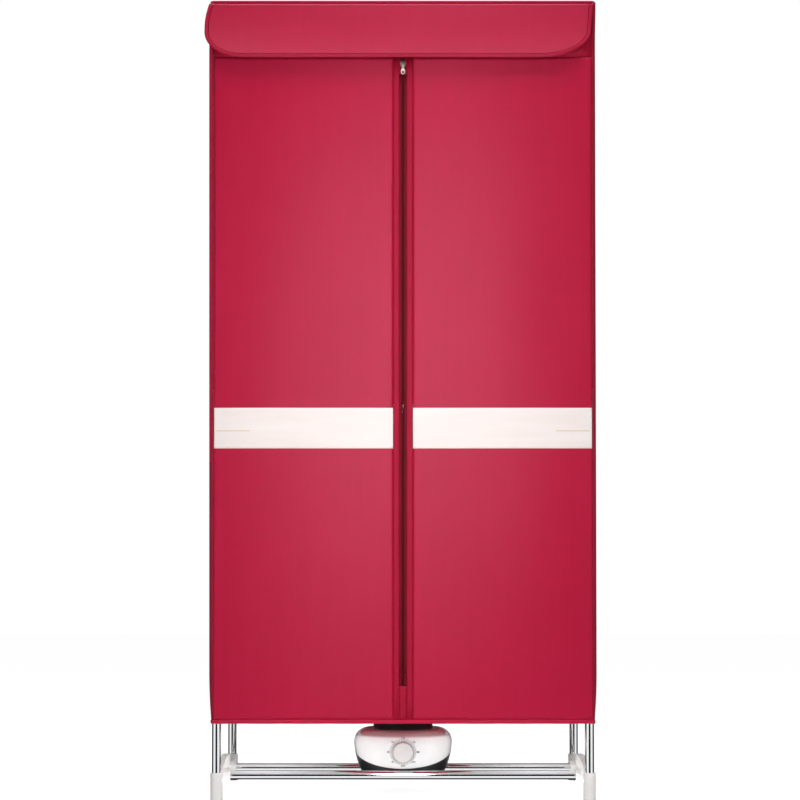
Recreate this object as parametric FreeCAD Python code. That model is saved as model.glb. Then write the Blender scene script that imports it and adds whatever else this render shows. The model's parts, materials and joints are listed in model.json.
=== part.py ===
# Portable clothes dryer: a knock-down rack of chromed tubes in plastic brackets, a cloth cover with a
# zipped front and a valance, and a warm-air unit that sits on the two base bars.
# Millimetres. +X is to the right as seen from the front, the front faces -Y, and Z rises from the floor.
import FreeCAD, Part
import math
import os

Vector = FreeCAD.Vector

# Rack
leg_span_x = 660.0        # between leg centres, left to right
leg_span_y = 436.0        # between leg centres, front to back
tube_d = 16.0
tube_wall = 0.8
tube_fit = 0.05           # all round, between a tube and its socket
socket_wall = 2.95        # of the upright sockets
bar_socket_wall = 4.95    # of the sockets for the bars and rods
foot_pad_h = 2.5
socket_floor = 3.0        # under a tube that stands in a closed socket
foot_socket_h = 47.5
bracket_web = 12.0        # thickness of a bracket's beam
bar_socket_inset = 15.5   # from the leg centre in to the mouth of a bar socket
bar_grip = 13.0           # length of a bar inside its socket

# Base brackets and bars
bar_stand = 8.5           # base bars' centres, out from the foot of the warm-air unit's side
base_bar_z = 35.0
base_arch_top_z = 64.0
base_arch_depth = 20.0
base_arch_foot_z = 45.0

# Middle and top brackets
mid_z = 705.0
mid_socket_h = 50.0
mid_web = 3.0             # between the two tubes in a middle socket
mid_rod_y = 110.0
mid_beam_h = 22.0
top_socket_h = 45.0
top_rod_y = 120.0
top_beam_h = 30.0
top_rod_drop = 18.0       # from the top bracket's top to the rod centres

# Cover
cloth_t = 1.2
cloth_gap = 0.3           # between the cloth and what it hangs round
seam_gap = 0.3            # between two panels that move apart
cover_top_z = 1419.0
hem_z = 137.5
hem_h = 7.1
hem_t = 2.1
draw_in_h = 85.0          # stretch above the hem where the sides draw in to the legs
corner_wrap = 6.5         # how far a side panel comes round the front corner
floor_notch = 22.0        # corner cut of the floor cloth, round a leg
piping_d = 4.0

# Doors and zip
door_top_drop = 103.0     # from the cover's top to the top of the doors
door_chain_x = 7.0        # half width of the open groove over the zip
placket_w = 10.0
placket_t = 0.8
tongue_top_h = 26.0       # fixed end pieces of the front, where the slider parks
tongue_foot_z = 228.0
zip_slit = 0.7            # half width of the slit between the teeth
zip_stop_z = 204.0
tape_lap = 5.0            # zip tape sewn behind the door
tape_t = 1.0
teeth_w = 2.5
teeth_t = 2.0
band_z = 624.0
band_h = 72.0
band_t = 0.5
band_end_gap = 1.5

# Zip slider and puller
slider_w = 13.0
slider_h = 12.0
slider_plate_t = 1.4
slider_gap = 0.3
slider_post_w = 0.8
slider_back_w = 10.0
slider_back_t = 1.0
slider_top_drop = 2.5     # below the valance's lower edge
pin_d = 1.5
pin_clearance = 0.1
ear_t = 1.0
ear_gap = 0.3
ear_r = 1.7
eye_w = 4.0
eye_wall = 0.9
puller_w = 8.0
puller_l = 15.0
puller_t = 1.2
puller_neck = 4.0
puller_hole_d = 4.0

# Valance
valance_h = 99.0
valance_top_drop = 2.0
valance_overhang = 3.5
valance_corner = 60.0
valance_stand = 1.2       # between the front of the cover and the valance
binding_w = 7.0
binding_t = 0.6           # on each face of the valance
valance_edge = 0.3        # between the binding's inner edge and the cloth inside it

# Warm-air unit's case
case_z0 = 30.0
case_h = 86.0
case_r = 90.0
case_widest_h = 56.0
case_floor_draw = 13.5    # the foot of the side, in from the widest
case_floor_corner = 6.0
case_top_draw = 20.0      # the edge of the flat top, in from the widest
flank_bulge = 2.5
shoulder_bulge = 7.2
case_wall = 2.5
split_side_h = 47.0       # height of the seam at the sides, over the case's floor
split_front_h = 12.5      # and at the front
bar_groove_gap = 0.1

# Inside the warm-air unit
boss_inset = 8.6          # boss centres, in from the foot of the case's side
boss_r = 5.0
boss_hole_r = 1.6
screw_r = 1.5
screw_head_r = 3.0
screw_head_h = 2.0
screw_l = 34.0
plate_h = 26.0            # underside of the motor plate, over the case's floor
plate_t = 2.5
plate_inset = 20.0        # the motor plate's edge, in from the widest of the case
plate_window_r = 10.0
plate_window_at = 44.0
plate_windows = 8
motor_r = 24.0
motor_h = 20.0
motor_nose_r = 7.0
motor_nose_h = 3.0
fan_shaft_d = 5.0
shaft_clearance = 0.08
fan_shaft_tail = 3.0      # below the motor
fan_gap = 2.0             # blade tips, in from the outlet's edge
fan_h = 18.0
fan_lift = 4.5            # from the motor plate up to the blades
fan_hub_r = 14.0
fan_blades = 7
blade_t = 2.0
blade_pitch_deg = 38.0
heater_ring_wall = 4.0
heater_ring_h = 24.0
heater_flange_w = 6.0
heater_boss_gap = 0.9
heater_flange_t = 3.0
heater_bars = 5
heater_bar_w = 10.0
heater_bar_h = 15.0
heater_rail_h = 3.0
heater_rail_w = 8.0
cutout_l = 16.0
cutout_w = 8.0
cutout_h = 6.0
intake_r = 46.0
intake_rim = 4.0
intake_t = 2.0
grille_bar_w = 3.0
grille_rings = 3
grille_spokes = 8
outlet_step = 8.0         # the outlet's edge, in from the heater ring
collar_foot_w = 7.0
collar_top_w = 4.0
collar_h = 34.0
collar_grille_rim = 4.0
collar_slots = 28
collar_slot_w = 6.0
collar_slot_h = 12.0
collar_slot_lift = 17.0
collar_hole_gap = 1.0     # between the collar and the hole in the floor cloth

# Timer and cord bush
timer_z = 76.5
timer_w = 36.0
timer_h = 25.0
timer_d = 22.0
timer_inset = 35.0        # rear face of the timer, in from the widest of the case
timer_neck_r = 5.0
timer_shaft_d = 6.0
knob_r = 19.25
knob_l = 13.0
knob_seat_r = 17.0
knob_gap = 0.5
knob_stand = 14.5         # front face of the knob, past the widest of the case
knob_draft = 1.2
knob_pointer_w = 2.0
knob_pointer_d = 0.6
knob_bore_l = 9.0
bush_z = 62.0
bush_r = 8.0
bush_bore_r = 3.5
bush_lip_r = 10.5
bush_lip_t = 2.5
bush_l = 18.5

# Worked out from the sizes above
leg_x = leg_span_x / 2
leg_y = leg_span_y / 2
tube_r = tube_d / 2
socket_r = tube_r + tube_fit
socket_out_r = socket_r + socket_wall
bar_socket_out_r = socket_r + bar_socket_wall
bar_mouth_x = leg_x - bar_socket_inset
bar_end_x = bar_mouth_x + bar_grip
foot_tube_z = foot_pad_h + socket_floor
foot_top_z = foot_pad_h + foot_socket_h

cover_in_x = leg_x + socket_out_r + cloth_gap
cover_in_y = leg_y + socket_out_r + cloth_gap
cover_x = cover_in_x + cloth_t
cover_y = cover_in_y + cloth_t
roof_under_z = cover_top_z - cloth_t
rack_top_z = roof_under_z - cloth_gap
top_rod_z = rack_top_z - top_rod_drop
hem_top_z = hem_z + hem_h
hem_in_x = leg_x + tube_r + cloth_gap
hem_in_y = cover_in_y - (hem_t - cloth_t) / 2
wall_foot_x = hem_in_x + cloth_t
seam_x = cover_x - corner_wrap
door_top_z = cover_top_z - door_top_drop
door_foot_z = hem_top_z + seam_gap
door_edge_x = seam_x - seam_gap
tongue_x = door_chain_x + placket_w
tongue_top_z = door_top_z - tongue_top_h
front_y = -cover_y
front_in_y = -cover_in_y

valance_top_z = cover_top_z - valance_top_drop
valance_foot_z = valance_top_z - valance_h
valance_x = cover_x + valance_overhang
valance_in_y = front_y - valance_stand
valance_out_y = valance_in_y - cloth_t

slider_top_z = valance_foot_z - slider_top_drop
slider_foot_z = slider_top_z - slider_h
slider_front_y = front_y - slider_gap - slider_plate_t
pin_z = slider_foot_z + ear_r
eye_r = pin_d / 2 + pin_clearance + eye_wall
pin_y = slider_front_y - eye_r - slider_gap

case_floor_r = case_r - case_floor_draw
case_top_r = case_r - case_top_draw
base_bar_y = case_floor_r + bar_stand
boss_at_r = case_floor_r - boss_inset
boss_xy = boss_at_r * math.sqrt(0.5)
plate_r = case_r - plate_inset
heater_flange_r = boss_at_r - boss_r - heater_boss_gap
heater_ring_r = heater_flange_r - heater_flange_w
outlet_r = heater_ring_r - outlet_step
collar_r = outlet_r + collar_foot_w
collar_top_r = outlet_r + collar_top_w
fan_r = outlet_r - fan_gap
case_top_z = case_z0 + case_h
case_in_top_z = case_top_z - case_wall
case_in_floor_z = case_z0 + case_wall
plate_z = case_z0 + plate_h
plate_top_z = plate_z + plate_t
fan_z = plate_top_z + fan_lift
fan_top_z = fan_z + fan_h
timer_back_y = case_r - timer_inset
knob_front_y = case_r + knob_stand
knob_back_y = -(knob_front_y - knob_l)

# The origin is under the middle of the whole part, so every piece moves back by half of what the zip
# puller stands out past the piping at the rear.
piping_out_y = cover_y - cloth_t / 2 + piping_d / 2
front_reach = -(pin_y - max(eye_r, ear_r))
origin_shift = Vector(0, (front_reach - piping_out_y) / 2, 0)


def box(x0, x1, y0, y1, z0, z1):
    return Part.makeBox(x1 - x0, y1 - y0, z1 - z0, Vector(x0, y0, z0))


def rod_x(x0, x1, y, z, radius):
    return Part.makeCylinder(radius, x1 - x0, Vector(x0, y, z), Vector(1, 0, 0))


def rod_y(x, y0, y1, z, radius):
    return Part.makeCylinder(radius, y1 - y0, Vector(x, y0, z), Vector(0, 1, 0))


def rod_z(x, y, z0, z1, radius):
    return Part.makeCylinder(radius, z1 - z0, Vector(x, y, z0), Vector(0, 0, 1))


def tube_x(x0, x1, y, z):
    return rod_x(x0, x1, y, z, tube_r).cut(rod_x(x0, x1, y, z, tube_r - tube_wall))


def tube_z(x, y, z0, z1):
    return rod_z(x, y, z0, z1, tube_r).cut(rod_z(x, y, z0, z1, tube_r - tube_wall))


def join(shapes):
    whole = shapes[0]
    for shape in shapes[1:]:
        whole = whole.fuse(shape)
    return whole.removeSplitter()


def mirrored(shape):
    return shape.mirror(Vector(0, 0, 0), Vector(1, 0, 0))


def polygon(points):
    return Part.makePolygon(points + points[:1])


def bulged_arc(start, end, bulge, outward):
    middle = (start + end) * 0.5 + outward * bulge
    return Part.Arc(start, middle, end).toShape()


def line(start, end):
    return Part.makeLine(start, end)


def save(name, shape):
    placed = shape.copy()
    placed.translate(origin_shift)
    placed.exportStep("parts/" + name + ".step")


# Each side of the rack: a bracket is drawn for the right side and mirrored for the left.
def arched_beam(foot_z, crown_z, depth):
    """A beam along Y between two upright sockets, risen in the middle."""
    x0 = leg_x - bracket_web / 2
    up = Vector(0, 0, 1)
    rise = crown_z - foot_z
    ends = [Vector(x0, -leg_y, foot_z), Vector(x0, leg_y, foot_z)]
    low = [point - up * depth for point in ends]
    top = Part.Arc(ends[0], Vector(x0, 0, foot_z + rise), ends[1]).toShape()
    under = Part.Arc(low[1], Vector(x0, 0, foot_z + rise - depth), low[0]).toShape()
    outline = Part.Wire([top, line(ends[1], low[1]), under, line(low[0], ends[0])])
    return Part.Face(outline).extrude(Vector(bracket_web, 0, 0))


def straight_beam(z0, z1):
    return box(leg_x - bracket_web / 2, leg_x + bracket_web / 2, -leg_y, leg_y, z0, z1)


def bar_sockets(bar_ys, z):
    """The solids and the bores of a bracket's sockets for bars."""
    back_x = leg_x + bracket_web / 2
    solids = [rod_x(bar_mouth_x, back_x, y, z, bar_socket_out_r) for y in bar_ys]
    bores = [rod_x(bar_mouth_x, bar_end_x, y, z, socket_r) for y in bar_ys]
    return solids, bores


def bracket(beam, sockets, tube_bores, bar_ys, bar_z):
    collars, bar_bores = bar_sockets(bar_ys, bar_z)
    whole = join([beam] + collars + sockets)
    for bore in bar_bores + tube_bores:
        whole = whole.cut(bore)
    return whole


def base_bracket():
    beam = arched_beam(base_arch_foot_z, base_arch_top_z, base_arch_depth)
    sockets = [rod_z(leg_x, y, foot_pad_h, foot_top_z, socket_out_r) for y in (-leg_y, leg_y)]
    clear_z = base_arch_top_z
    bores = [rod_z(leg_x, y, foot_tube_z, clear_z, socket_r) for y in (-leg_y, leg_y)]
    return bracket(beam, sockets, bores, (-base_bar_y, base_bar_y), base_bar_z)


def mid_bracket():
    half = mid_socket_h / 2
    beam = straight_beam(mid_z - mid_beam_h / 2, mid_z + mid_beam_h / 2)
    sockets = [rod_z(leg_x, y, mid_z - half, mid_z + half, socket_out_r) for y in (-leg_y, leg_y)]
    bores = []
    for y in (-leg_y, leg_y):
        bores.append(rod_z(leg_x, y, mid_z - half, mid_z - mid_web / 2, socket_r))
        bores.append(rod_z(leg_x, y, mid_z + mid_web / 2, mid_z + half, socket_r))
    return bracket(beam, sockets, bores, (-mid_rod_y, mid_rod_y), mid_z)


def top_bracket():
    socket_z = rack_top_z - top_socket_h
    beam = straight_beam(rack_top_z - top_beam_h, rack_top_z)
    sockets = [rod_z(leg_x, y, socket_z, rack_top_z, socket_out_r) for y in (-leg_y, leg_y)]
    bores = [rod_z(leg_x, y, socket_z, rack_top_z - socket_floor, socket_r) for y in (-leg_y, leg_y)]
    return bracket(beam, sockets, bores, (-top_rod_y, 0, top_rod_y), top_rod_z)


def build_rack():
    for name, shape in (("base", base_bracket()), ("mid", mid_bracket()), ("top", top_bracket())):
        save(name + "_bracket_right", shape)
        save(name + "_bracket_left", mirrored(shape))
    for end, y in (("front", -leg_y), ("rear", leg_y)):
        for side, x in (("left", -leg_x), ("right", leg_x)):
            lower_top_z = mid_z - mid_web / 2
            upper_foot_z = mid_z + mid_web / 2
            save("lower_upright_" + end + "_" + side, tube_z(x, y, foot_tube_z, lower_top_z))
            save("upper_upright_" + end + "_" + side, tube_z(x, y, upper_foot_z, rack_top_z - socket_floor))
    pads = [rod_z(x, y, 0, foot_pad_h, socket_out_r) for x in (-leg_x, leg_x) for y in (-leg_y, leg_y)]
    save("foot_pads", Part.makeCompound(pads))
    bars = [("base_bar_front", -base_bar_y, base_bar_z), ("base_bar_rear", base_bar_y, base_bar_z)]
    bars += [("mid_rod_front", -mid_rod_y, mid_z), ("mid_rod_rear", mid_rod_y, mid_z)]
    bars += [("top_rod_front", -top_rod_y, top_rod_z), ("top_rod_centre", 0, top_rod_z)]
    bars += [("top_rod_rear", top_rod_y, top_rod_z)]
    for name, y, z in bars:
        save(name, tube_x(-bar_end_x, bar_end_x, y, z))


# The cover's walls are straight down to a short stretch above the hem, where they draw in to the legs.
def wall_edge(inset, y):
    """The right-hand edge of the cover seen from the front, top to bottom, moved in by an inset."""
    top = Vector(cover_x - inset, y, cover_top_z)
    bend = Vector(cover_x - inset, y, hem_top_z + draw_in_h)
    foot = Vector(wall_foot_x - inset, y, hem_top_z)
    drawn = cover_x - wall_foot_x
    radius = (drawn ** 2 + draw_in_h ** 2) / (2 * drawn)
    half_turn = math.asin(draw_in_h / radius) / 2
    middle = bend + Vector(-radius * (1 - math.cos(half_turn)), 0, -radius * math.sin(half_turn))
    return [line(top, bend), Part.Arc(bend, middle, foot).toShape()], top, foot


def side_panel():
    outer, outer_top, outer_foot = wall_edge(0, front_y)
    inner, inner_top, inner_foot = wall_edge(cloth_t, front_y)
    ends = [line(outer_top, inner_top), line(outer_foot, inner_foot)]
    section = Part.Wire(Part.__sortEdges__(outer + inner + ends))
    wall = Part.Face(section).extrude(Vector(0, cover_y + cover_in_y, 0))
    seam = [Vector(seam_x, front_y, cover_top_z), Vector(seam_x, front_y, hem_top_z)]
    edges = outer + [line(outer_top, seam[0]), line(*seam), line(seam[1], outer_foot)]
    wrap = Part.Face(Part.Wire(Part.__sortEdges__(edges))).extrude(Vector(0, cloth_t, 0))
    return join([wall, wrap])


def back_panel():
    right, right_top, right_foot = wall_edge(0, cover_in_y)
    left = [mirrored(edge) for edge in right]
    left_top = Vector(-right_top.x, right_top.y, right_top.z)
    left_foot = Vector(-right_foot.x, right_foot.y, right_foot.z)
    edges = right + left + [line(left_top, right_top), line(left_foot, right_foot)]
    return Part.Face(Part.Wire(Part.__sortEdges__(edges))).extrude(Vector(0, cloth_t, 0))


def hem_ring():
    out_x = hem_in_x + hem_t
    out_y = hem_in_y + hem_t
    outside = box(-out_x, out_x, -out_y, out_y, hem_z, hem_top_z)
    return outside.cut(box(-hem_in_x, hem_in_x, -hem_in_y, hem_in_y, hem_z, hem_top_z))


def floor_cloth():
    cloth = box(-hem_in_x, hem_in_x, -hem_in_y, hem_in_y, hem_z, hem_z + cloth_t)
    for x in (-1, 1):
        for y in (-1, 1):
            xs = sorted((x * hem_in_x, x * (hem_in_x - floor_notch)))
            ys = sorted((y * hem_in_y, y * (hem_in_y - floor_notch)))
            cloth = cloth.cut(box(xs[0], xs[1], ys[0], ys[1], hem_z, hem_top_z))
    return cloth.cut(rod_z(0, 0, hem_z, hem_top_z, collar_r + collar_hole_gap))


def roof_piping():
    x = cover_x - cloth_t / 2
    y = cover_y - cloth_t / 2
    z = cover_top_z + piping_d / 2
    sides = [rod_x(-x, x, side * y, z, piping_d / 2) for side in (-1, 1)]
    sides += [rod_y(side * x, -y, y, z, piping_d / 2) for side in (-1, 1)]
    corners = [Part.makeSphere(piping_d / 2, Vector(a * x, b * y, z)) for a in (-1, 1) for b in (-1, 1)]
    return join(sides + corners)


def front_strip(x0, x1, z0, z1):
    return box(x0, x1, front_y, front_in_y, z0, z1)


def zip_slot(z0, z1):
    """The slit that the slider's post runs in, through a fixed end piece of the front."""
    return front_strip(-zip_slit, zip_slit, z0, z1)


def front_header():
    header = front_strip(-seam_x, seam_x, door_top_z + seam_gap, roof_under_z)
    tongue = front_strip(-tongue_x, tongue_x, tongue_top_z, door_top_z + seam_gap)
    return join([header, tongue]).cut(zip_slot(tongue_top_z, slider_top_z + slider_gap))


def front_foot():
    return front_strip(-tongue_x, tongue_x, hem_top_z, tongue_foot_z).cut(zip_slot(zip_stop_z, tongue_foot_z))


def build_cover():
    side = side_panel()
    save("cover_right", side)
    save("cover_left", mirrored(side))
    save("cover_back", back_panel())
    save("cover_roof", box(-cover_in_x, cover_in_x, front_in_y, cover_in_y, roof_under_z, cover_top_z))
    save("cover_floor", floor_cloth())
    save("cover_hem", hem_ring())
    save("roof_piping", roof_piping())
    save("front_header", front_header())
    save("front_foot", front_foot())


# Doors: each is drawn for the right side and mirrored for the left.
def door_panel():
    panel = front_strip(door_chain_x, door_edge_x, door_foot_z, door_top_z)
    notch_x = tongue_x + seam_gap
    panel = panel.cut(front_strip(0, notch_x, tongue_top_z - seam_gap, door_top_z))
    return panel.cut(front_strip(0, notch_x, door_foot_z, tongue_foot_z + seam_gap))


def placket():
    z0 = tongue_foot_z + seam_gap
    z1 = tongue_top_z - seam_gap
    return box(door_chain_x, door_chain_x + placket_w, front_y - placket_t, front_y, z0, z1)


def zip_tape():
    z0 = tongue_foot_z + seam_gap
    z1 = tongue_top_z - seam_gap
    tape = box(zip_slit, door_chain_x + tape_lap, front_in_y, front_in_y + tape_t, z0, z1)
    mid_y = front_in_y + tape_t / 2
    teeth = box(zip_slit, zip_slit + teeth_w, mid_y - teeth_t / 2, mid_y + teeth_t / 2, z0, z1)
    return join([tape, teeth])


def white_band():
    x0 = door_chain_x + placket_w
    return box(x0, door_edge_x - band_end_gap, front_y - band_t, front_y, band_z, band_z + band_h)


def build_doors():
    for name, shape in (("door", door_panel()), ("placket", placket()), ("zip_tape", zip_tape()),
                        ("white_band", white_band())):
        save(name + "_right", shape)
        save(name + "_left", mirrored(shape))


def zip_slider():
    half = slider_w / 2
    back_y = front_in_y + tape_t / 2 + teeth_t / 2 + slider_gap
    plate = box(-half, half, slider_front_y, slider_front_y + slider_plate_t, slider_foot_z, slider_top_z)
    back_x = slider_back_w / 2
    back = box(-back_x, back_x, back_y, back_y + slider_back_t, slider_foot_z, slider_top_z)
    post_x = slider_post_w / 2
    post = box(-post_x, post_x, slider_front_y, back_y, slider_top_z - slider_h / 2, slider_top_z)
    ear_x = eye_w / 2 + ear_gap
    pieces = [plate, back, post, rod_x(-ear_x, ear_x, pin_y, pin_z, pin_d / 2)]
    for x in (-ear_x - ear_t, ear_x):
        pieces.append(rod_x(x, x + ear_t, pin_y, pin_z, ear_r))
        pieces.append(box(x, x + ear_t, pin_y, slider_front_y, pin_z - ear_r, pin_z + ear_r))
    return join(pieces)


def zip_puller():
    bore = rod_x(-eye_w / 2, eye_w / 2, pin_y, pin_z, pin_d / 2 + pin_clearance)
    eye = rod_x(-eye_w / 2, eye_w / 2, pin_y, pin_z, eye_r)
    y0 = pin_y - puller_t / 2
    y1 = pin_y + puller_t / 2
    neck = box(-eye_w / 2, eye_w / 2, y0, y1, pin_z - puller_neck, pin_z)
    blade_foot_z = pin_z - puller_l
    blade = box(-puller_w / 2, puller_w / 2, y0, y1, blade_foot_z, pin_z - puller_neck)
    hole = rod_y(0, y0, y1, blade_foot_z + puller_hole_d, puller_hole_d / 2)
    return join([eye, neck, blade]).cut(bore).cut(hole)


def flap_outline(inset, y):
    """The valance seen from the front: square at the top, round at the two lower corners."""
    x = valance_x - inset
    foot = valance_foot_z + inset
    radius = valance_corner - inset
    reach = radius * math.sqrt(0.5)
    top = [Vector(-x, y, valance_top_z), Vector(x, y, valance_top_z)]
    edges = [line(top[0], top[1])]
    lows = []
    for side in (1, -1):
        start = Vector(side * x, y, foot + radius)
        middle = Vector(side * (x - radius + reach), y, foot + radius - reach)
        end = Vector(side * (x - radius), y, foot)
        edges += [line(Vector(side * x, y, valance_top_z), start), Part.Arc(start, middle, end).toShape()]
        lows.append(end)
    edges.append(line(lows[0], lows[1]))
    return Part.Face(Part.Wire(Part.__sortEdges__(edges)))


def build_valance():
    flap = flap_outline(binding_w + valance_edge, valance_out_y).extrude(Vector(0, cloth_t, 0))
    save("valance", flap)
    binding_out_y = valance_out_y - binding_t
    thickness = Vector(0, cloth_t + 2 * binding_t, 0)
    whole = flap_outline(0, binding_out_y).extrude(thickness)
    save("valance_binding", whole.cut(flap_outline(binding_w, binding_out_y).extrude(thickness)))


# The case of the warm-air unit is one turned shape, hollowed and cut in two along a seam that dips in front.
def case_solid(inset):
    """The turned outside of the case, moved in by an inset."""
    floor_z = case_z0 + inset
    top_z = case_top_z - inset
    floor_r = case_floor_r - inset
    corner = case_floor_corner
    turn = corner * (1 - math.sqrt(0.5))
    axis_foot = Vector(0, 0, floor_z)
    floor_edge = Vector(floor_r - corner, 0, floor_z)
    corner_mid = Vector(floor_r - turn, 0, floor_z + turn)
    flank_foot = Vector(floor_r, 0, floor_z + corner)
    widest = Vector(case_r - inset, 0, case_z0 + case_widest_h)
    top_edge = Vector(case_top_r - inset, 0, top_z)
    axis_top = Vector(0, 0, top_z)
    flank_out = Vector(widest.z - flank_foot.z, 0, flank_foot.x - widest.x).normalize()
    shoulder_out = Vector(top_edge.z - widest.z, 0, widest.x - top_edge.x).normalize()
    edges = [line(axis_foot, floor_edge), Part.Arc(floor_edge, corner_mid, flank_foot).toShape()]
    edges.append(bulged_arc(flank_foot, widest, flank_bulge, flank_out))
    edges.append(bulged_arc(widest, top_edge, shoulder_bulge, shoulder_out))
    edges += [line(top_edge, axis_top), line(axis_top, axis_foot)]
    return Part.Face(Part.Wire(edges)).revolve(Vector(0, 0, 0), Vector(0, 0, 1), 360)


def below_seam():
    """Everything under the case's seam: level behind the middle, sloping down to the front."""
    reach = 2 * case_r
    side_z = case_z0 + split_side_h
    slope = (split_side_h - split_front_h) / case_r
    points = [Vector(-reach, -reach, side_z - slope * reach), Vector(-reach, 0, side_z)]
    points += [Vector(-reach, reach, side_z), Vector(-reach, reach, case_z0 - reach)]
    points += [Vector(-reach, -reach, case_z0 - reach)]
    return Part.Face(polygon(points)).extrude(Vector(2 * reach, 0, 0))


def boss_places():
    return [(x * boss_xy, y * boss_xy) for x in (-1, 1) for y in (-1, 1)]


def case_parts():
    hollow = case_solid(0).cut(case_solid(case_wall))
    inside = case_solid(case_wall)
    lower = below_seam()
    shell = hollow.cut(lower)
    base = hollow.common(lower)
    seat = rod_y(0, knob_back_y + knob_gap, -timer_back_y, timer_z, knob_seat_r)
    shell = shell.fuse(seat.cut(inside))
    shell_bosses = [rod_z(x, y, plate_top_z, case_in_top_z, boss_r) for x, y in boss_places()]
    base_bosses = [rod_z(x, y, case_in_floor_z, plate_z, boss_r) for x, y in boss_places()]
    shell = join([shell] + shell_bosses)
    base = join([base] + base_bosses)
    screw_tip_z = case_z0 + screw_head_h + screw_l
    for x, y in boss_places():
        shell = shell.cut(rod_z(x, y, plate_top_z, screw_tip_z, boss_hole_r))
        base = base.cut(rod_z(x, y, case_z0, plate_z, boss_hole_r))
        base = base.cut(rod_z(x, y, case_z0, case_z0 + screw_head_h, screw_head_r + bar_groove_gap))
    shell = shell.cut(rod_z(0, 0, case_in_top_z, case_top_z, outlet_r))
    shell = shell.cut(rod_y(0, knob_back_y, 0, timer_z, timer_neck_r + tube_fit))
    base = base.cut(rod_z(0, 0, case_z0, case_in_floor_z, intake_r))
    base = base.cut(rod_y(0, 0, 2 * case_r, bush_z, bush_r))
    for y in (-base_bar_y, base_bar_y):
        base = base.cut(rod_x(-case_r, case_r, y, base_bar_z, tube_r + bar_groove_gap))
    return shell, base


def round_grille(radius, rim, z0, thickness):
    """A rim with rings and spokes inside it."""
    whole = rod_z(0, 0, z0, z0 + thickness, radius)
    whole = whole.cut(rod_z(0, 0, z0, z0 + thickness, radius - rim))
    pitch = (radius - rim) / (grille_rings + 1)
    pieces = [whole]
    for ring in range(1, grille_rings + 1):
        outer = rod_z(0, 0, z0, z0 + thickness, ring * pitch + grille_bar_w / 2)
        pieces.append(outer.cut(rod_z(0, 0, z0, z0 + thickness, ring * pitch - grille_bar_w / 2)))
    for spoke in range(grille_spokes):
        bar = box(pitch, radius - rim / 2, -grille_bar_w / 2, grille_bar_w / 2, z0, z0 + thickness)
        bar.rotate(Vector(0, 0, 0), Vector(0, 0, 1), spoke * 360 / grille_spokes)
        pieces.append(bar)
    return join(pieces)


def outlet_collar():
    top_z = case_top_z + collar_h
    ring = Part.makeCone(collar_r, collar_top_r, collar_h, Vector(0, 0, case_top_z))
    ring = ring.cut(rod_z(0, 0, case_top_z, top_z, outlet_r))
    slot_z = case_top_z + collar_slot_lift
    for slot in range(collar_slots):
        cutter = box(0, 2 * collar_r, -collar_slot_w / 2, collar_slot_w / 2, slot_z, slot_z + collar_slot_h)
        cutter.rotate(Vector(0, 0, 0), Vector(0, 0, 1), slot * 360 / collar_slots)
        ring = ring.cut(cutter)
    grille = round_grille(outlet_r, collar_grille_rim, top_z - intake_t, intake_t)
    return join([ring, grille])


def motor_plate():
    plate = rod_z(0, 0, plate_z, plate_top_z, plate_r)
    plate = plate.cut(rod_z(0, 0, plate_z, plate_top_z, motor_nose_r + tube_fit))
    for window in range(plate_windows):
        angle = 2 * math.pi * window / plate_windows
        x = plate_window_at * math.cos(angle)
        y = plate_window_at * math.sin(angle)
        plate = plate.cut(rod_z(x, y, plate_z, plate_top_z, plate_window_r))
    for x, y in boss_places():
        plate = plate.cut(rod_z(x, y, plate_z, plate_top_z, boss_hole_r))
    notch_x = timer_w / 2 + boss_hole_r
    return plate.cut(box(-notch_x, notch_x, -plate_r, boss_hole_r - timer_back_y, plate_z, plate_top_z))


def fan_motor():
    can = rod_z(0, 0, plate_z - motor_h, plate_z, motor_r)
    nose = rod_z(0, 0, plate_z, plate_z + motor_nose_h, motor_nose_r)
    bore = rod_z(0, 0, plate_z - motor_h, plate_z + motor_nose_h, fan_shaft_d / 2 + shaft_clearance)
    return join([can, nose]).cut(bore)


def fan_impeller():
    hub = rod_z(0, 0, fan_z, fan_top_z, fan_hub_r)
    pieces = [hub]
    for blade in range(fan_blades):
        height = fan_h * math.cos(math.radians(blade_pitch_deg)) - blade_t
        plate = box(fan_hub_r / 2, fan_r, -blade_t / 2, blade_t / 2, -height / 2, height / 2)
        plate.rotate(Vector(0, 0, 0), Vector(1, 0, 0), blade_pitch_deg)
        plate.translate(Vector(0, 0, fan_z + fan_h / 2))
        plate.rotate(Vector(0, 0, 0), Vector(0, 0, 1), blade * 360 / fan_blades)
        pieces.append(plate)
    sweep = rod_z(0, 0, fan_z, fan_top_z, fan_r)
    return join(pieces).common(sweep).cut(rod_z(0, 0, fan_z, fan_top_z, fan_shaft_d / 2))


def heater_frame():
    foot_z = case_in_top_z - heater_ring_h
    ring = rod_z(0, 0, foot_z, case_in_top_z, heater_ring_r)
    flange = rod_z(0, 0, case_in_top_z - heater_flange_t, case_in_top_z, heater_flange_r)
    hollow_r = heater_ring_r - heater_ring_wall
    whole = join([ring, flange]).cut(rod_z(0, 0, foot_z, case_in_top_z, hollow_r))
    across = rod_z(0, 0, foot_z, case_in_top_z, hollow_r + heater_ring_wall / 2)
    pieces = [whole]
    for y in (-1, 1):
        rail_y = y * hollow_r / 2
        rail = box(-heater_ring_r, heater_ring_r, rail_y - heater_rail_w / 2, rail_y + heater_rail_w / 2,
                   foot_z, foot_z + heater_rail_h)
        pieces.append(rail.common(across))
    return join(pieces)


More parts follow.
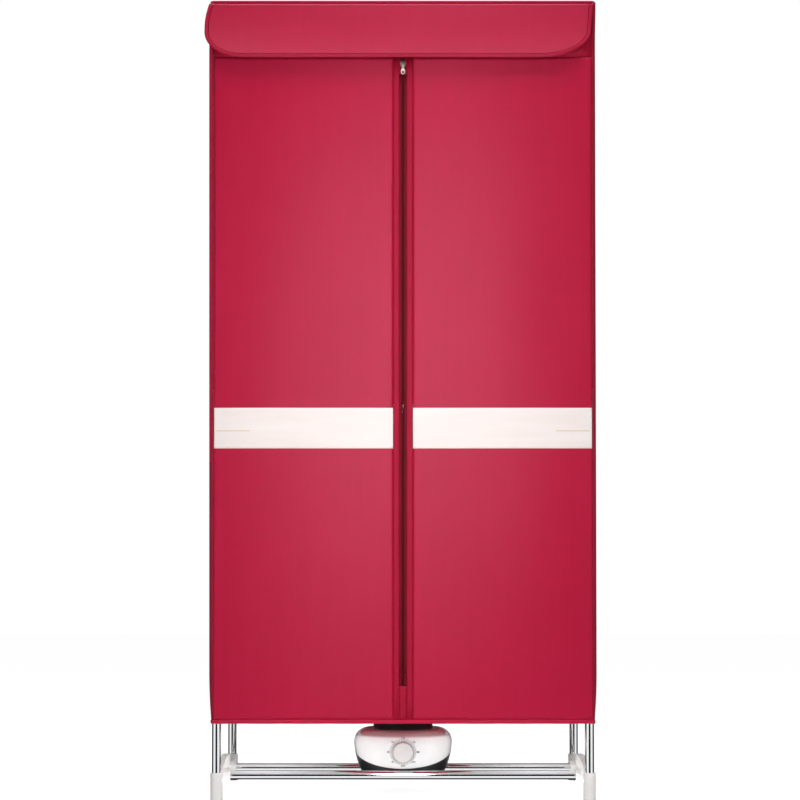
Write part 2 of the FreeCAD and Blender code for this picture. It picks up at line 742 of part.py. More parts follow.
def heater_element():
    """Upright fin packs that stand on the two rails of the frame."""
    z0 = case_in_top_z - heater_ring_h + heater_rail_h
    hollow_r = heater_ring_r - heater_ring_wall
    pitch = 2 * (hollow_r - heater_bar_w) / heater_bars
    packs = []
    for index in range(heater_bars):
        x = (index - (heater_bars - 1) / 2) * pitch
        corner_x = abs(x) + heater_bar_w / 2
        half = math.sqrt(hollow_r ** 2 - corner_x ** 2) - tube_fit
        packs.append(box(x - heater_bar_w / 2, x + heater_bar_w / 2, -half, half, z0, z0 + heater_bar_h))
    return Part.makeCompound(packs)


def thermal_cutout():
    x = heater_ring_r - cutout_w / 2
    z1 = case_in_top_z - heater_ring_h
    return box(x - cutout_w / 2, x + cutout_w / 2, -cutout_l / 2, cutout_l / 2, z1 - cutout_h, z1)


def timer_front_y():
    return -(timer_back_y + timer_d)


def timer_body():
    body = box(-timer_w / 2, timer_w / 2, timer_front_y(), -timer_back_y, timer_z - timer_h / 2,
               timer_z + timer_h / 2)
    neck = rod_y(0, knob_back_y + knob_gap, timer_front_y(), timer_z, timer_neck_r)
    bore = rod_y(0, knob_back_y, -timer_back_y, timer_z, timer_shaft_d / 2 + shaft_clearance)
    return join([body, neck]).cut(bore)


def timer_knob():
    base = Vector(0, knob_back_y, timer_z)
    body = Part.makeCone(knob_r, knob_r - knob_draft, knob_l, base, Vector(0, -1, 0))
    front_face = min(body.Faces, key=lambda face: face.CenterOfMass.y)
    body = body.makeFillet(knob_draft, front_face.Edges)
    slot = box(-knob_pointer_w / 2, knob_pointer_w / 2, -knob_front_y, knob_pointer_d - knob_front_y,
               timer_z - knob_r, timer_z - knob_r / 2)
    bore = rod_y(0, knob_back_y - knob_bore_l, knob_back_y, timer_z, timer_shaft_d / 2)
    return body.cut(slot).cut(bore)


def cord_bush():
    """A rubber bush in the rear wall, with a lip on the outside."""
    wall_y = case_r
    out_y = wall_y + bush_lip_t
    barrel = rod_y(0, out_y - bush_l, out_y, bush_z, bush_r)
    lip = rod_y(0, wall_y, out_y, bush_z, bush_lip_r)
    return join([barrel, lip]).cut(rod_y(0, 0, 2 * case_r, bush_z, bush_bore_r))


def case_screws():
    screws = []
    for x, y in boss_places():
        head = rod_z(x, y, case_z0, case_z0 + screw_head_h, screw_head_r)
        shank = rod_z(x, y, case_z0 + screw_head_h, case_z0 + screw_head_h + screw_l, screw_r)
        screws.append(join([head, shank]))
    return Part.makeCompound(screws)


def build_warm_air_unit():
    shell, base = case_parts()
    save("host_shell", shell)
    save("host_base", base)
    save("outlet_collar", outlet_collar())
    save("intake_grille", round_grille(intake_r, intake_rim, case_z0, intake_t))
    save("motor_plate", motor_plate())
    save("fan_motor", fan_motor())
    save("fan_shaft", rod_z(0, 0, plate_z - motor_h - fan_shaft_tail, fan_top_z, fan_shaft_d / 2))
    save("fan_impeller", fan_impeller())
    save("heater_frame", heater_frame())
    save("heater_element", heater_element())
    save("thermal_cutout", thermal_cutout())
    save("timer", timer_body())
    save("timer_shaft", rod_y(0, knob_back_y - knob_bore_l, -timer_back_y, timer_z, timer_shaft_d / 2))
    save("timer_knob", timer_knob())
    save("cord_bush", cord_bush())
    save("case_screws", case_screws())


os.makedirs("parts", exist_ok=True)
build_rack()
build_cover()
build_doors()
save("zip_slider", zip_slider())
save("zip_puller", zip_puller())
build_valance()
build_warm_air_unit()
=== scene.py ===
# %% [markdown]
# # A portable clothes dryer in crimson cloth
# A tall cloth cover hangs on a rack of chromed tubes, and a small warm-air unit under it blows up through
# the cover's floor. The rigid pieces come from the construction model and get their finishes here. The
# cloth is made again as mesh, because cloth shown as flat board looks like board. The first lines load the
# construction model as a fixed frame. Every length is in metres, and the front of the object looks along
# minus Y.

# %% Load the frame
import json
import math
import bpy
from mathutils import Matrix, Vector


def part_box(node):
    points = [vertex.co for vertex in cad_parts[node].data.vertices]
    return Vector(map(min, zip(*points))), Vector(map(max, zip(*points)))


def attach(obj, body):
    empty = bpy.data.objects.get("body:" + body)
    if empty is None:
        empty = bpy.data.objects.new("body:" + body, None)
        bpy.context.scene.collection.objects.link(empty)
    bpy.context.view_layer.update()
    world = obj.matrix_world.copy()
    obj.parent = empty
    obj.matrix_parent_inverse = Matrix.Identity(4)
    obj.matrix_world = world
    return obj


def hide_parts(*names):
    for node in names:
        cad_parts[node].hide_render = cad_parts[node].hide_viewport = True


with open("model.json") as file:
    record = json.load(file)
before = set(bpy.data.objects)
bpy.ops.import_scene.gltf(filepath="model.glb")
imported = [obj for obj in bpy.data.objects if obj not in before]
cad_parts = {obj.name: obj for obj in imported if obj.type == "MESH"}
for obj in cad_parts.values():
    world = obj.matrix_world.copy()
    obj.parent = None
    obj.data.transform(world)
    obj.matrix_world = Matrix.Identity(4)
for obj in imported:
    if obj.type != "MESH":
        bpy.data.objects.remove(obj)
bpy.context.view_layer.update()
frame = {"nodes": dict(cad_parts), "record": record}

scene = bpy.context.scene
mm = 0.001

# %% [markdown]
# ## Camera
# A long lens from five metres away keeps the tall box almost free of perspective. Its focal length, the
# height of the horizon and the middle of the object are written as pixels of an 800 pixel picture, since
# that is how they are measured, and are turned into a lens, a shift and a small upward tilt.

# %% Camera
def add(name, data):
    """An object that shows a camera, a lamp or a mesh, put into the scene."""
    made = bpy.data.objects.new(name, data)
    scene.collection.objects.link(made)
    return made


picture_px = 800
focal_px = 2647
horizon_px = 549.5
middle_px = 403
shift_px = 53
camera_away = 4.916
camera_height = 0.445
lens = bpy.data.cameras.new("camera")
lens.sensor_width = 36
lens.lens = focal_px / picture_px * lens.sensor_width
lens.shift_x = (picture_px / 2 - middle_px) / picture_px
lens.shift_y = shift_px / picture_px
camera = add("camera", lens)
tilt = math.atan((horizon_px - picture_px / 2 - shift_px) / focal_px)
camera.location = (0, -camera_away, camera_height)
camera.rotation_euler = (math.pi / 2 + tilt, 0, 0)
scene.camera = camera
scene.view_settings.view_transform = "Standard"
print("lens:", round(lens.lens, 1), "mm, tilted up", round(math.degrees(tilt), 2), "degrees")

# %% [markdown]
# ## Writing finishes as sums
# A finish is a small network of nodes. Drawn by hand it is a web of boxes, and in code it is easier to read
# as a sum. The first class wraps one output socket, so that an expression such as 1 - mask adds its own
# Math node. The second holds a network, and makes every other node with one method: the settings come
# first, because some of them change which sockets a node has.

# %% Sums on sockets
class Value:
    """What one socket gives over a surface, used in sums as an ordinary number is."""

    def __init__(self, recipe, socket):
        self.recipe = recipe
        self.socket = socket

    def reckon(self, operation, first, second=0.0):
        return self.recipe.node("ShaderNodeMath", {"operation": operation}, {0: first, 1: second})

    def __add__(self, other):
        return self.reckon("ADD", self, other)

    def __radd__(self, other):
        return self.reckon("ADD", other, self)

    def __sub__(self, other):
        return self.reckon("SUBTRACT", self, other)

    def __rsub__(self, other):
        return self.reckon("SUBTRACT", other, self)

    def __mul__(self, other):
        return self.reckon("MULTIPLY", self, other)

    def __rmul__(self, other):
        return self.reckon("MULTIPLY", other, self)

    def __lt__(self, other):
        return self.reckon("LESS_THAN", self, other)

    def __gt__(self, other):
        return self.reckon("GREATER_THAN", self, other)

    def __abs__(self):
        return self.reckon("ABSOLUTE", self)

    def sine(self):
        return self.reckon("SINE", self)


print("sums ready")

# %% A network of nodes
def tint(code):
    """A web colour such as B81D3C as the linear colour that a node takes."""
    shares = [int(code[i:i + 2], 16) / 255 for i in (0, 2, 4)]
    linear = [s / 12.92 if s <= 0.04045 else ((s + 0.055) / 1.055) ** 2.4 for s in shares]
    return (*linear, 1.0)


finishes = {}


class Recipe:
    """The node network of one finish."""

    def __init__(self, name, owner=None):
        self.name = name
        self.owner = owner or bpy.data.materials.new(name)
        self.owner.use_nodes = True
        self.tree = self.owner.node_tree
        self.tree.nodes.clear()

    def node(self, kind, settings=None, inputs=None, output=0):
        made = self.tree.nodes.new(kind)
        for name, value in (settings or {}).items():
            setattr(made, name, value)
        for name, value in (inputs or {}).items():
            if isinstance(value, Value):
                self.tree.links.new(value.socket, made.inputs[name])
            else:
                made.inputs[name].default_value = value
        return Value(self, made.outputs[output]) if len(made.outputs) else made

    def axes(self, coordinate="Object"):
        place = self.node("ShaderNodeTexCoord", output=coordinate)
        split = self.node("ShaderNodeSeparateXYZ", inputs={0: place})
        return [Value(self, socket) for socket in split.socket.node.outputs]

    def stretched(self, x, y, z):
        place = self.node("ShaderNodeTexCoord", output="Object")
        return self.node("ShaderNodeVectorMath", {"operation": "MULTIPLY"}, {0: place, 1: (x, y, z)})

    def noise(self, scale, detail=2.0, where=None):
        place = where or self.node("ShaderNodeTexCoord", output="Object")
        inputs = {"Vector": place, "Scale": scale, "Detail": detail}
        return self.node("ShaderNodeTexNoise", inputs=inputs)

    def blend(self, mask, low, high):
        """From low to high as mask goes from 0 to 1. Sockets 6 and 7 of the node take the two colours."""
        low, high = [shade if isinstance(shade, Value) else tint(shade) for shade in (low, high)]
        return self.node("ShaderNodeMix", {"data_type": "RGBA"}, {0: mask, 6: low, 7: high}, output=2)

    def bump(self, height, distance):
        inputs = {"Height": height, "Distance": distance, "Strength": 1.0}
        return self.node("ShaderNodeBump", inputs=inputs)

    def surface(self, **sockets):
        inputs = {name.replace("_", " "): value for name, value in sockets.items()}
        shader = self.node("ShaderNodeBsdfPrincipled", inputs=inputs)
        self.node("ShaderNodeOutputMaterial", inputs={"Surface": shader})
        finishes[self.name] = self.owner


print("crimson as a node takes it:", [round(share, 3) for share in tint("B81D3C")])

# %% [markdown]
# ## Floor, sky and lamps
# The picture is a studio shot on white. The floor and the sky show white to the camera, while the cloth is
# lit at a plain level, so that each colour comes out about as it is written. The floor is only partly
# white by itself, which leaves the soft shadow on it. Chrome has no colour of its own and shows what stands
# around it, so for mirrored rays the sky has two black flags, one behind the camera and one behind the
# object, as a photographer would hang them: they give the tubes their dark stripes. Where a flag begins is
# written as the y of a direction, from minus one behind the camera to one behind the object.

# %% Floor
floor_half = 9
floor_grey = 0.82
floor_glow = 1.3
floor_white = 0.72
recipe = Recipe("studio_floor")
rays = recipe.node("ShaderNodeLightPath").socket.node.outputs
seen = Value(recipe, rays["Is Camera Ray"]) + Value(recipe, rays["Is Transmission Ray"])
paint = recipe.node("ShaderNodeBsdfDiffuse", inputs={"Color": (floor_grey, floor_grey, floor_grey, 1)})
glow = recipe.node("ShaderNodeEmission", inputs={"Color": (1, 1, 1, 1), "Strength": floor_glow})
mixed = recipe.node("ShaderNodeMixShader", inputs={0: floor_white * seen, 1: paint, 2: glow})
recipe.node("ShaderNodeOutputMaterial", inputs={"Surface": mixed})
floor_mesh = bpy.data.meshes.new("studio_floor")
corners = [(x * floor_half, y * floor_half, 0) for x, y in ((-1, -1), (1, -1), (1, 1), (-1, 1))]
floor_mesh.from_pydata(corners, [], [(0, 1, 2, 3)])
floor_mesh.materials.append(recipe.owner)
floor = add("studio_floor", floor_mesh)
floor.visible_glossy = False
print("floor:", 2 * floor_half, "m square")

# %% Sky
front_flag = -0.91
rear_flag = -0.16
flag_black = 0.985
sky_level = 0.22
world = bpy.data.worlds.new("studio_sky")
scene.world = world
recipe = Recipe("studio_sky", world)
rays = recipe.node("ShaderNodeLightPath").socket.node.outputs
direct = Value(recipe, rays["Is Camera Ray"]) + Value(recipe, rays["Is Transmission Ray"])
mirrored = Value(recipe, rays["Is Glossy Ray"])
away_y = recipe.axes("Generated")[1]
flags = (away_y < front_flag) + (away_y > rear_flag)
strength = direct + (1 - direct) * (mirrored * (1 - flag_black * flags) + (1 - mirrored) * sky_level)
sky = recipe.node("ShaderNodeBackground", inputs={"Color": (1, 1, 1, 1), "Strength": strength})
recipe.node("ShaderNodeOutputWorld", inputs={"Surface": sky})
print("sky level on the cloth:", sky_level)

# %% [markdown]
# A tall narrow lamp close in front lights the doors and fades towards their edges, and a shorter one in the
# same place works in the cloth's sheen alone. A large box overhead lights the valance and shades the doors
# below it, and two boxes far out fill in from the sides. Under the cover three flat beams and three small
# lamps near the floor light the unit and the brackets, and two boxes behind serve the views from the back.
# These eight are kept out of mirrored rays, since a tube would show each as a spot.

# %% Lamps
def softbox(name, place, target, width, height, watts):
    """A soft rectangular lamp, aimed at a point and out of the camera's sight."""
    lamp = bpy.data.lights.new(name, "AREA")
    lamp.shape = "RECTANGLE"
    lamp.size = width
    lamp.size_y = height
    lamp.energy = watts
    holder = add(name, lamp)
    holder.location = place
    holder.rotation_euler = (Vector(target) - Vector(place)).to_track_quat("-Z", "Y").to_euler()
    holder.visible_camera = False
    return holder


softbox("front_strip", (0, -0.93, 0.80), (0, 0, 0.80), 0.11, 1.4, 4.2)
sheen = softbox("sheen_strip", (0, -0.93, 0.87), (0, 0, 0.87), 0.11, 0.76, 5.2)
sheen.visible_diffuse = False
softbox("overhead_box", (0, -1.05, 3.2), (0, -0.2, 0.9), 2.4, 0.8, 39)
softbox("left_box", (-2.2, -2.6, 0.6), (0, 0, 0.5), 1.2, 1.2, 8)
softbox("right_box", (2.2, -2.6, 0.6), (0, 0, 0.5), 1.2, 1.2, 8)
for name, place, target, width, height, watts, spread in (
        ("low_front", (0, -1.25, 0.085), (0, 0, 0.083), 1.0, 0.05, 0.08, 6),
        ("low_left", (-1.6, -0.8, 0.080), (0.28, 0, 0.078), 1.0, 0.05, 0.08, 6),
        ("low_right", (1.6, -0.8, 0.080), (-0.28, 0, 0.078), 1.0, 0.05, 0.08, 6),
        ("table_glow", (0, -0.11, 0.012), (0, -0.11, 1), 0.2, 0.06, 0.02, 180),
        ("glow_left", (-0.26, -0.06, 0.012), (-0.32, 0.0, 1), 0.16, 0.20, 0.26, 150),
        ("glow_right", (0.26, -0.06, 0.012), (0.32, 0.0, 1), 0.16, 0.20, 0.26, 150),
        ("rear_left", (-1.7, 2.5, 1.3), (-0.3, 0.15, 0.7), 0.8, 1.2, 11, 80),
        ("rear_right", (2.4, 1.4, 1.2), (0.3, 0.15, 0.7), 0.8, 1.2, 7, 80)):
    fill = softbox(name, place, target, width, height, watts)
    fill.data.spread = math.radians(spread)
    fill.visible_glossy = False

# %% [markdown]
# ## Cloth
# The cover is a light polyester cloth with a satin face. Close up it is a fine twill, from further away it
# is a soft sheen with faint clouds in the dye. A weave could be an image, but two crossed sine waves give
# the threads at their true pitch on any panel. The sums run along x + y and z + x - y, so the same finish
# works on a front, a side and the roof. Slubs are noise drawn out along the height, as uneven yarn is. The
# side panels get a painted shade where they come round the front corner, for the corner turning away from
# the lamps, except high up on the left, where that corner stands in the light.

# %% Woven finishes
# Where the painted shade on the side panels' front corner lies.
shade_corner_x = 0.3400
shade_corner_y = -0.2268
shade_corner_z = 0.6
gloss_tint = (1.0, 0.68, 0.9, 1.0)


def woven(name, dark, light, pitch, depth, rough, gloss, strip=None):
    """A twill: threads, slubs and dye clouds between two shades, with painted shade on the corner
    in front of y = strip.

    The pitch of the threads and their depth are in millimetres.
    """
    recipe = Recipe(name)
    x, y, z = recipe.axes()
    turn = math.tau / (pitch * mm)
    threads = ((x + y) * turn).sine() * ((z + x - y) * turn).sine()
    slubs = recipe.noise(90.0, 2.0, recipe.stretched(1, 1, 0.07))
    clouds = recipe.noise(4.0, 3.0)
    shade = 0.55 * clouds + 0.35 * slubs + 0.1 * threads
    colour = recipe.blend(shade, dark, light)
    # Painted shade: in front of y = strip the side cloth turns dark red, as the front corner in shade.
    if strip:
        painted_shade = ((abs(x) < shade_corner_x) + (x > 0) + (z < shade_corner_z)) > 0.5
        colour = recipe.blend((y < strip) * painted_shade, colour, "860A22")
    recipe.surface(
        Base_Color=colour,
        Roughness=rough + 0.10 * slubs,
        Normal=recipe.bump(threads + 1.5 * slubs, depth * mm),
        Specular_IOR_Level=gloss,
        Specular_Tint=gloss_tint,
    )


woven("crimson_cloth", "A80E2F", "BC1740", 0.7, 0.025, 0.30, 0.18)
woven("crimson_valance", "A20D2D", "BA1840", 0.7, 0.025, 0.30, 0.44)
woven("crimson_side", "A80E2F", "BC1740", 0.7, 0.025, 0.34, 0.23, shade_corner_y)
# A rougher copy of the cloth, darker as painted shade of the placket folds, also on header, foot and roof.
woven("crimson_fold", "9C0C29", "AE1436", 0.7, 0.03, 0.50, 0.12)
woven("crimson_trim", "AC0E30", "C81C42", 0.9, 0.06, 0.38, 0.20)
woven("crimson_binding", "A00C2B", "B4153A", 0.9, 0.05, 0.34, 0.20)
# Dark seam cloth: painted shade of the crease along the inner side of the valance's binding.
woven("crimson_seam", "6E0A1C", "840E26", 0.9, 0.06, 0.60, 0.15)
# The zip's tape is darkened with painted shade of the groove between the plackets.
woven("zip_tape", "6E0A1A", "861222", 1.1, 0.08, 0.60, 0.10)
print("cloths:", sorted(finishes))

# %% [markdown]
# The floor of the cover is the same cloth with a pale grey coating underneath, which keeps the warm damp air
# in. Only an oval patch round the outlet is bare. The way the surface faces tells top from underside, and
# the sum of two squares gives the oval.

# %% Coated floor cloth
recipe = Recipe("lined_floor")
x, y, z = recipe.axes()
face_z = recipe.axes("Normal")[2]
patch = (0.13, 0.14)
patch_y = -0.015
across = x * (1 / patch[0])
along = (y - patch_y) * (1 / patch[1])
coated = (face_z < 0) * ((across * across + along * along) > 1)
slubs = recipe.noise(90.0, 2.0)
cloth = recipe.blend(slubs, "A80E2F", "BC1740")
coating = recipe.blend(slubs, "C4C1C1", "D6D4D4")
recipe.surface(
    Base_Color=recipe.blend(coated, cloth, coating),
    Roughness=0.4 + 0.2 * slubs,
    Normal=recipe.bump(slubs, 0.03 * mm),
)
print("bare patch:", 2 * patch[0], "by", 2 * patch[1], "m")

# %% [markdown]
# The white band on each door is a smoother ribbon with a thin gold line printed near its outer end. The
# line could be a strip of mesh, but a print has no thickness, so it is a mask on the band's own height and
# width, and the colour changes where the mask is one.

# %% White ribbon with a gold line
line_height = 0.6551
line_from = 0.2713
line_to = 0.3300
line_half = 0.8 * mm
ribbon_pitch = 0.8 * mm
recipe = Recipe("white_cloth")
x, y, z = recipe.axes()
turn = math.tau / ribbon_pitch
threads = (x * turn).sine() * (z * turn).sine()
slubs = recipe.noise(80.0, 2.0, recipe.stretched(0.08, 1, 1))
print_mask = (abs(z - line_height) < line_half) * (abs(x) > line_from) * (abs(x) < line_to)
ribbon = recipe.blend(slubs, "ECE0DD", "F4EBE8")
recipe.surface(
    Base_Color=recipe.blend(print_mask, ribbon, "DCC79C"),
    Roughness=0.5 + 0.1 * slubs - 0.12 * print_mask,
    Normal=recipe.bump(threads + slubs, 0.02 * mm),
    Specular_IOR_Level=0.2,
)
print("gold line:", round((line_to - line_from) / mm, 1), "mm long")

# %% [markdown]
# ## Metals
# Plated tube is a mirror with very fine polishing lines along it. A texture stretched a hundred times along
# one axis turns round spots into such lines. They go only into the roughness, since lines this fine can't
# be felt. The cast zip slider, the steel parts and the heater's fins are the same idea with other numbers.

# %% Metal finishes
def metal(name, dark, light, rough, spread, stretch):
    """A bare or plated metal with drawn-out polishing lines."""
    recipe = Recipe(name)
    lines = recipe.noise(700.0, 2.0, recipe.stretched(*stretch))
    patches = recipe.noise(14.0, 3.0)
    recipe.surface(
        Base_Color=recipe.blend(0.6 * patches + 0.4 * lines, dark, light),
        Metallic=1.0,
        Roughness=rough + spread * lines,
    )


metal("chrome_tube", "E4E6E8", "F4F5F6", 0.04, 0.05, (0.05, 1, 0.05))
metal("zinc", "A89490", "C8B6B2", 0.34, 0.16, (1, 1, 1))
metal("slider_zinc", "5E4846", "806A66", 0.40, 0.16, (1, 1, 1))
metal("steel", "9A9C9F", "C6C8CA", 0.26, 0.16, (1, 0.05, 1))
metal("heater_fins", "A39B8C", "C9C6BE", 0.34, 0.2, (1, 1, 0.05))
metal("motor_can", "85888B", "AAADB0", 0.30, 0.2, (1, 1, 0.05))
print("metals ready")

# %% [markdown]
# ## Plastics and rubber
# Moulded plastic is hardly ever one flat colour: the mould is spark-eroded to a fine grain, thick places
# cool slower and come out a shade lighter, and hands polish it unevenly. One function makes them all from
# two shades, a grain height and a gloss.

# %% Plastic finishes
def moulded(name, dark, light, rough, grain, grain_size=900.0, gloss=0.5):
    """A moulded plastic or rubber, between two shades and with a fine grain, its depth in millimetres."""
    recipe = Recipe(name)
    speckle = recipe.noise(grain_size, 1.0)
    patches = recipe.noise(18.0, 3.0)
    recipe.surface(
        Base_Color=recipe.blend(0.7 * patches + 0.3 * speckle, dark, light),
        Roughness=rough + 0.12 * patches,
        Normal=recipe.bump(speckle, grain * mm),
        Specular_IOR_Level=gloss,
    )


moulded("white_plastic", "DCDAD8", "E9E8E6", 0.34, 0.02)
moulded("pale_plastic", "CFCECC", "DAD9D7", 0.34, 0.006)
moulded("dark_plastic", "1C1B1C", "343334", 0.30, 0.03)
# The zip's teeth are darkened with painted shade of the groove between the plackets.
moulded("zip_nylon", "4A0810", "5C0A16", 0.60, 0.01, 900.0, 0.12)
moulded("black_plastic", "070607", "141214", 0.45, 0.03, 900.0, 0.2)
moulded("fan_plastic", "2B2C2E", "45464A", 0.42, 0.02)
moulded("timer_plastic", "D8CFB8", "EBE4D2", 0.45, 0.02)
moulded("heat_board", "7C6A48", "A8946A", 0.55, 0.08, 260.0)
moulded("grey_rubber", "5A5A5C", "747476", 0.68, 0.05, 500.0)
moulded("black_rubber", "111112", "222224", 0.62, 0.05, 500.0)
print("plastics and rubbers ready")

# %% [markdown]
# The shell of the warm-air unit is painted in pearl silver: fine flakes under a clear coat, which is a
# second, smoother layer of gloss. Its shoulder, round the outlet, is polished brighter and mirrors the red
# cloth above it, so the metal share rises there. A smooth step on the height makes the change.

# %% Pearl silver shell
shoulder_from = 0.1005
shoulder_to = 0.1060
recipe = Recipe("silver_plastic")
flakes = recipe.noise(1600.0, 1.0)
haze = recipe.noise(9.0, 2.0)
limits = {"Value": recipe.axes()[2], "From Min": shoulder_from, "From Max": shoulder_to}
shoulder = recipe.node("ShaderNodeMapRange", {"interpolation_type": "SMOOTHSTEP"}, limits)
recipe.surface(
    Base_Color=recipe.blend(0.5 * flakes + 0.5 * haze, "F2F5F5", "FDFEFE"),
    Metallic=0.04 * flakes + 0.65 * shoulder,
    Roughness=0.24 - 0.1 * shoulder + 0.03 * flakes,
    Normal=recipe.bump(flakes, 0.002 * mm),
    Coat_Weight=0.8,
    Coat_Roughness=0.05,
)
print("finishes:", len(finishes))

# %% [markdown]
# ## Finishes on the rigid pieces
# The record of the construction model says which finish each solid has, so one loop dresses them all. The
# solids of cloth get their finish too, although the meshes that follow take their place.

# %% Dress the solids
for part in frame["record"]["subparts"]:
    solid = frame["nodes"][part["node"]]
    solid.data.materials.clear()
    solid.data.materials.append(finishes[part["material_slot"]])

# %% [markdown]
# ## Tools for cloth
# A panel of cloth is a grid of points that a small function bends, and a Solidify modifier gives it its
# thickness. A bound edge, a hem or a cord of piping is a section swept along a path. A seam is a row of
# separate stitches, each one a spindle that is fat in the middle and dives into the cloth at both ends.
# A sewing machine's stitches could also be a bump texture, but real ones catch the light at the rim.


def piece(name, points, faces, body, finish, nodes=(), thick=0.0):
    """A mesh that rides on a body of the frame and can stand for some of its solids."""
    mesh = bpy.data.meshes.new(name)
    mesh.from_pydata(points, [], faces)
    mesh.polygons.foreach_set("use_smooth", [True] * len(faces))
    mesh.materials.append(finishes[finish])
    made = add(name, mesh)
    if thick:
        skin = made.modifiers.new("thickness", "SOLIDIFY")
        skin.thickness = thick
        skin.offset = 0
    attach(made, body)
    if nodes:
        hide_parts(*nodes)
    return made


def panel(columns, rows, bend):
    """Points and faces of a grid, where bend gives each point from its two shares."""
    points = [bend(i / columns, j / rows) for i in range(columns + 1) for j in range(rows + 1)]
    step = rows + 1
    faces = []
    for i in range(columns):
        for j in range(rows):
            first = i * step + j
            faces.append((first, first + step, first + step + 1, first + 1))
    return points, faces


def between(low, high, share):
    """The value at a share of the way from low to high."""
    return low + (high - low) * share


def share_of(low, high, value):
    """What share of the way from low to high a value is, held between 0 and 1."""
    return min(1.0, max(0.0, (value - low) / (high - low)))


def hump(share):
    """0 at both ends and 1 in the middle, round on top."""
    return math.sin(math.pi * share)


print("panel of 2 by 3 has", len(panel(2, 3, lambda u, v: (u, v, 0))[1]), "faces")


# %% Swept edges
def joined(loops, closed):
    """Closed loops of equally many points as one skin, which ends in two caps or is closed on itself."""
    count = len(loops[0])
    points = [point for loop in loops for point in loop]
    faces = []
    last = len(loops) if closed else len(loops) - 1
    for i in range(last):
        here = i * count
        there = (i + 1) % len(loops) * count
        for j in range(count):
            k = (j + 1) % count
            faces.append((here + j, here + k, there + k, there + j))
    if not closed:
        faces.append(tuple(reversed(range(count))))
        faces.append(tuple(range(last * count, last * count + count)))
    return points, faces


def swept(stations, section, closed):
    """A section swept along stations, each a middle and the two directions of the section."""
    loops = [[middle + a * side + b * out for a, b in section] for middle, side, out in stations]
    return joined(loops, closed)


def circle(steps, power=1.0):
    """Points round a circle from its right on, where a power below 1 flattens the sides."""
    turns = [math.tau * i / steps for i in range(steps)]
    ways = [(math.cos(turn), math.sin(turn)) for turn in turns]
    return [[math.copysign(abs(share) ** power, share) for share in way] for way in ways]


def quarter_circle(start, steps):
    """Points round a quarter of a circle from an angle in degrees on, with both ends."""
    turns = [math.radians(start + 90 * i / steps) for i in range(steps + 1)]
    return [(math.cos(turn), math.sin(turn)) for turn in turns]


def directions(line):
    """The direction of a line at each of its points, from the point before to the point after."""
    ends = [line[0]] + line + [line[-1]]
    return [(after - before).normalized() for before, after in zip(ends, ends[2:])]


def oval(width, height, corners=12, power=0.7):
    """The section of a folded edge: an oval with flattened sides."""
    return [(a * width / 2, b * height / 2) for a, b in circle(corners, power)]


def ring(left, right, front, back, radius, height, per_corner=8, per_side=60):
    """Stations round a rectangle with rounded corners, side pointing up and out pointing outwards."""
    up = Vector((0, 0, 1))
    arcs = []
    for x, y, start in ((right - radius, front + radius, -90), (right - radius, back - radius, 0),
                        (left + radius, back - radius, 90), (left + radius, front + radius, 180)):
        outs = [Vector((*way, 0)) for way in quarter_circle(start, per_corner)]
        arcs.append([(Vector((x, y, height)) + radius * out, up, out) for out in outs])
    stations = []
    for arc, after in zip(arcs, arcs[1:] + arcs[:1]):
        end, up, out = arc[-1]
        stations += arc
        stations += [(end.lerp(after[0][0], i / per_side), up, out) for i in range(1, per_side)]
    return stations


print("ring stations:", len(ring(-1, 1, -1, 1, 0.1, 0)))


# %% Stitches
stitch_pitch = 3.6 * mm
stitch_length = 2.7 * mm
stitch_thread = 0.45 * mm


def seam(name, line, out, body):
    """A row of stitches along a line of points, lying on cloth that faces along out at each point."""
    reach = [0.0]
    for a, b in zip(line, line[1:]):
        reach.append(reach[-1] + (b - a).length)
    points = []
    faces = []
    at = 0
    for number in range(int(reach[-1] / stitch_pitch)):
        goal = (number + 0.5) * stitch_pitch
        while reach[at + 1] < goal:
            at += 1
        share = (goal - reach[at]) / (reach[at + 1] - reach[at])
        middle = line[at].lerp(line[at + 1], share)
        along = (line[at + 1] - line[at]).normalized()
        face = out[at].normalized()
        side = along.cross(face)
        first = len(points)
        points += [middle - along * stitch_length / 2, middle + along * stitch_length / 2]
        points += [middle + way * stitch_thread for way in (side, face, -side, -face)]
        for k in range(4):
            a = first + 2 + k
            b = first + 2 + (k + 1) % 4
            faces.append((first, b, a))
            faces.append((first + 1, a, b))
    return piece(name, points, faces, body, "crimson_trim")


print("stitches per metre:", int(1 / stitch_pitch))

# %% [markdown]
# ## The two door panels
# Each half of the front is one long panel, sewn down at the side and stiffened by the zip. Held only at its
# edges, such cloth bellies out by a few millimetres and takes soft, long waves. A cloth simulation would
# give the same at great cost, so a product of sines does it: zero along all four edges, full in the middle.
# The bend only goes outwards, because the tubes stand close behind the cloth.

# %% Door panels
sides = (("left", -1), ("right", 1))
door_low, door_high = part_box("door_right")
front_face = door_low.y
cloth_thick = 1.0 * mm
front_middle = (door_low.y + door_high.y) / 2
door_in = 17.4 * mm
door_out = door_high.x
door_top = door_high.z + 6 * mm


def belly(x, z):
    """How far the front cloth stands out at a place on a door, zero along its edges."""
    u = share_of(door_in, door_out, abs(x))
    v = share_of(door_low.z, door_top, z)
    hold = hump(u) * hump(v) ** 0.6
    lean = 1 if x > 0 else -1
    waves = 0.5 * math.sin(7 * u + 5 * v + lean) + 0.3 * math.sin(4 * u - 13 * v + 2 * lean)
    puckers = 0.25 * math.sin(math.tau * x / 0.031 + lean) * math.exp(-(z - door_low.z) / 0.022)
    return (hold * (2.4 + waves) + hump(u) * puckers) * mm


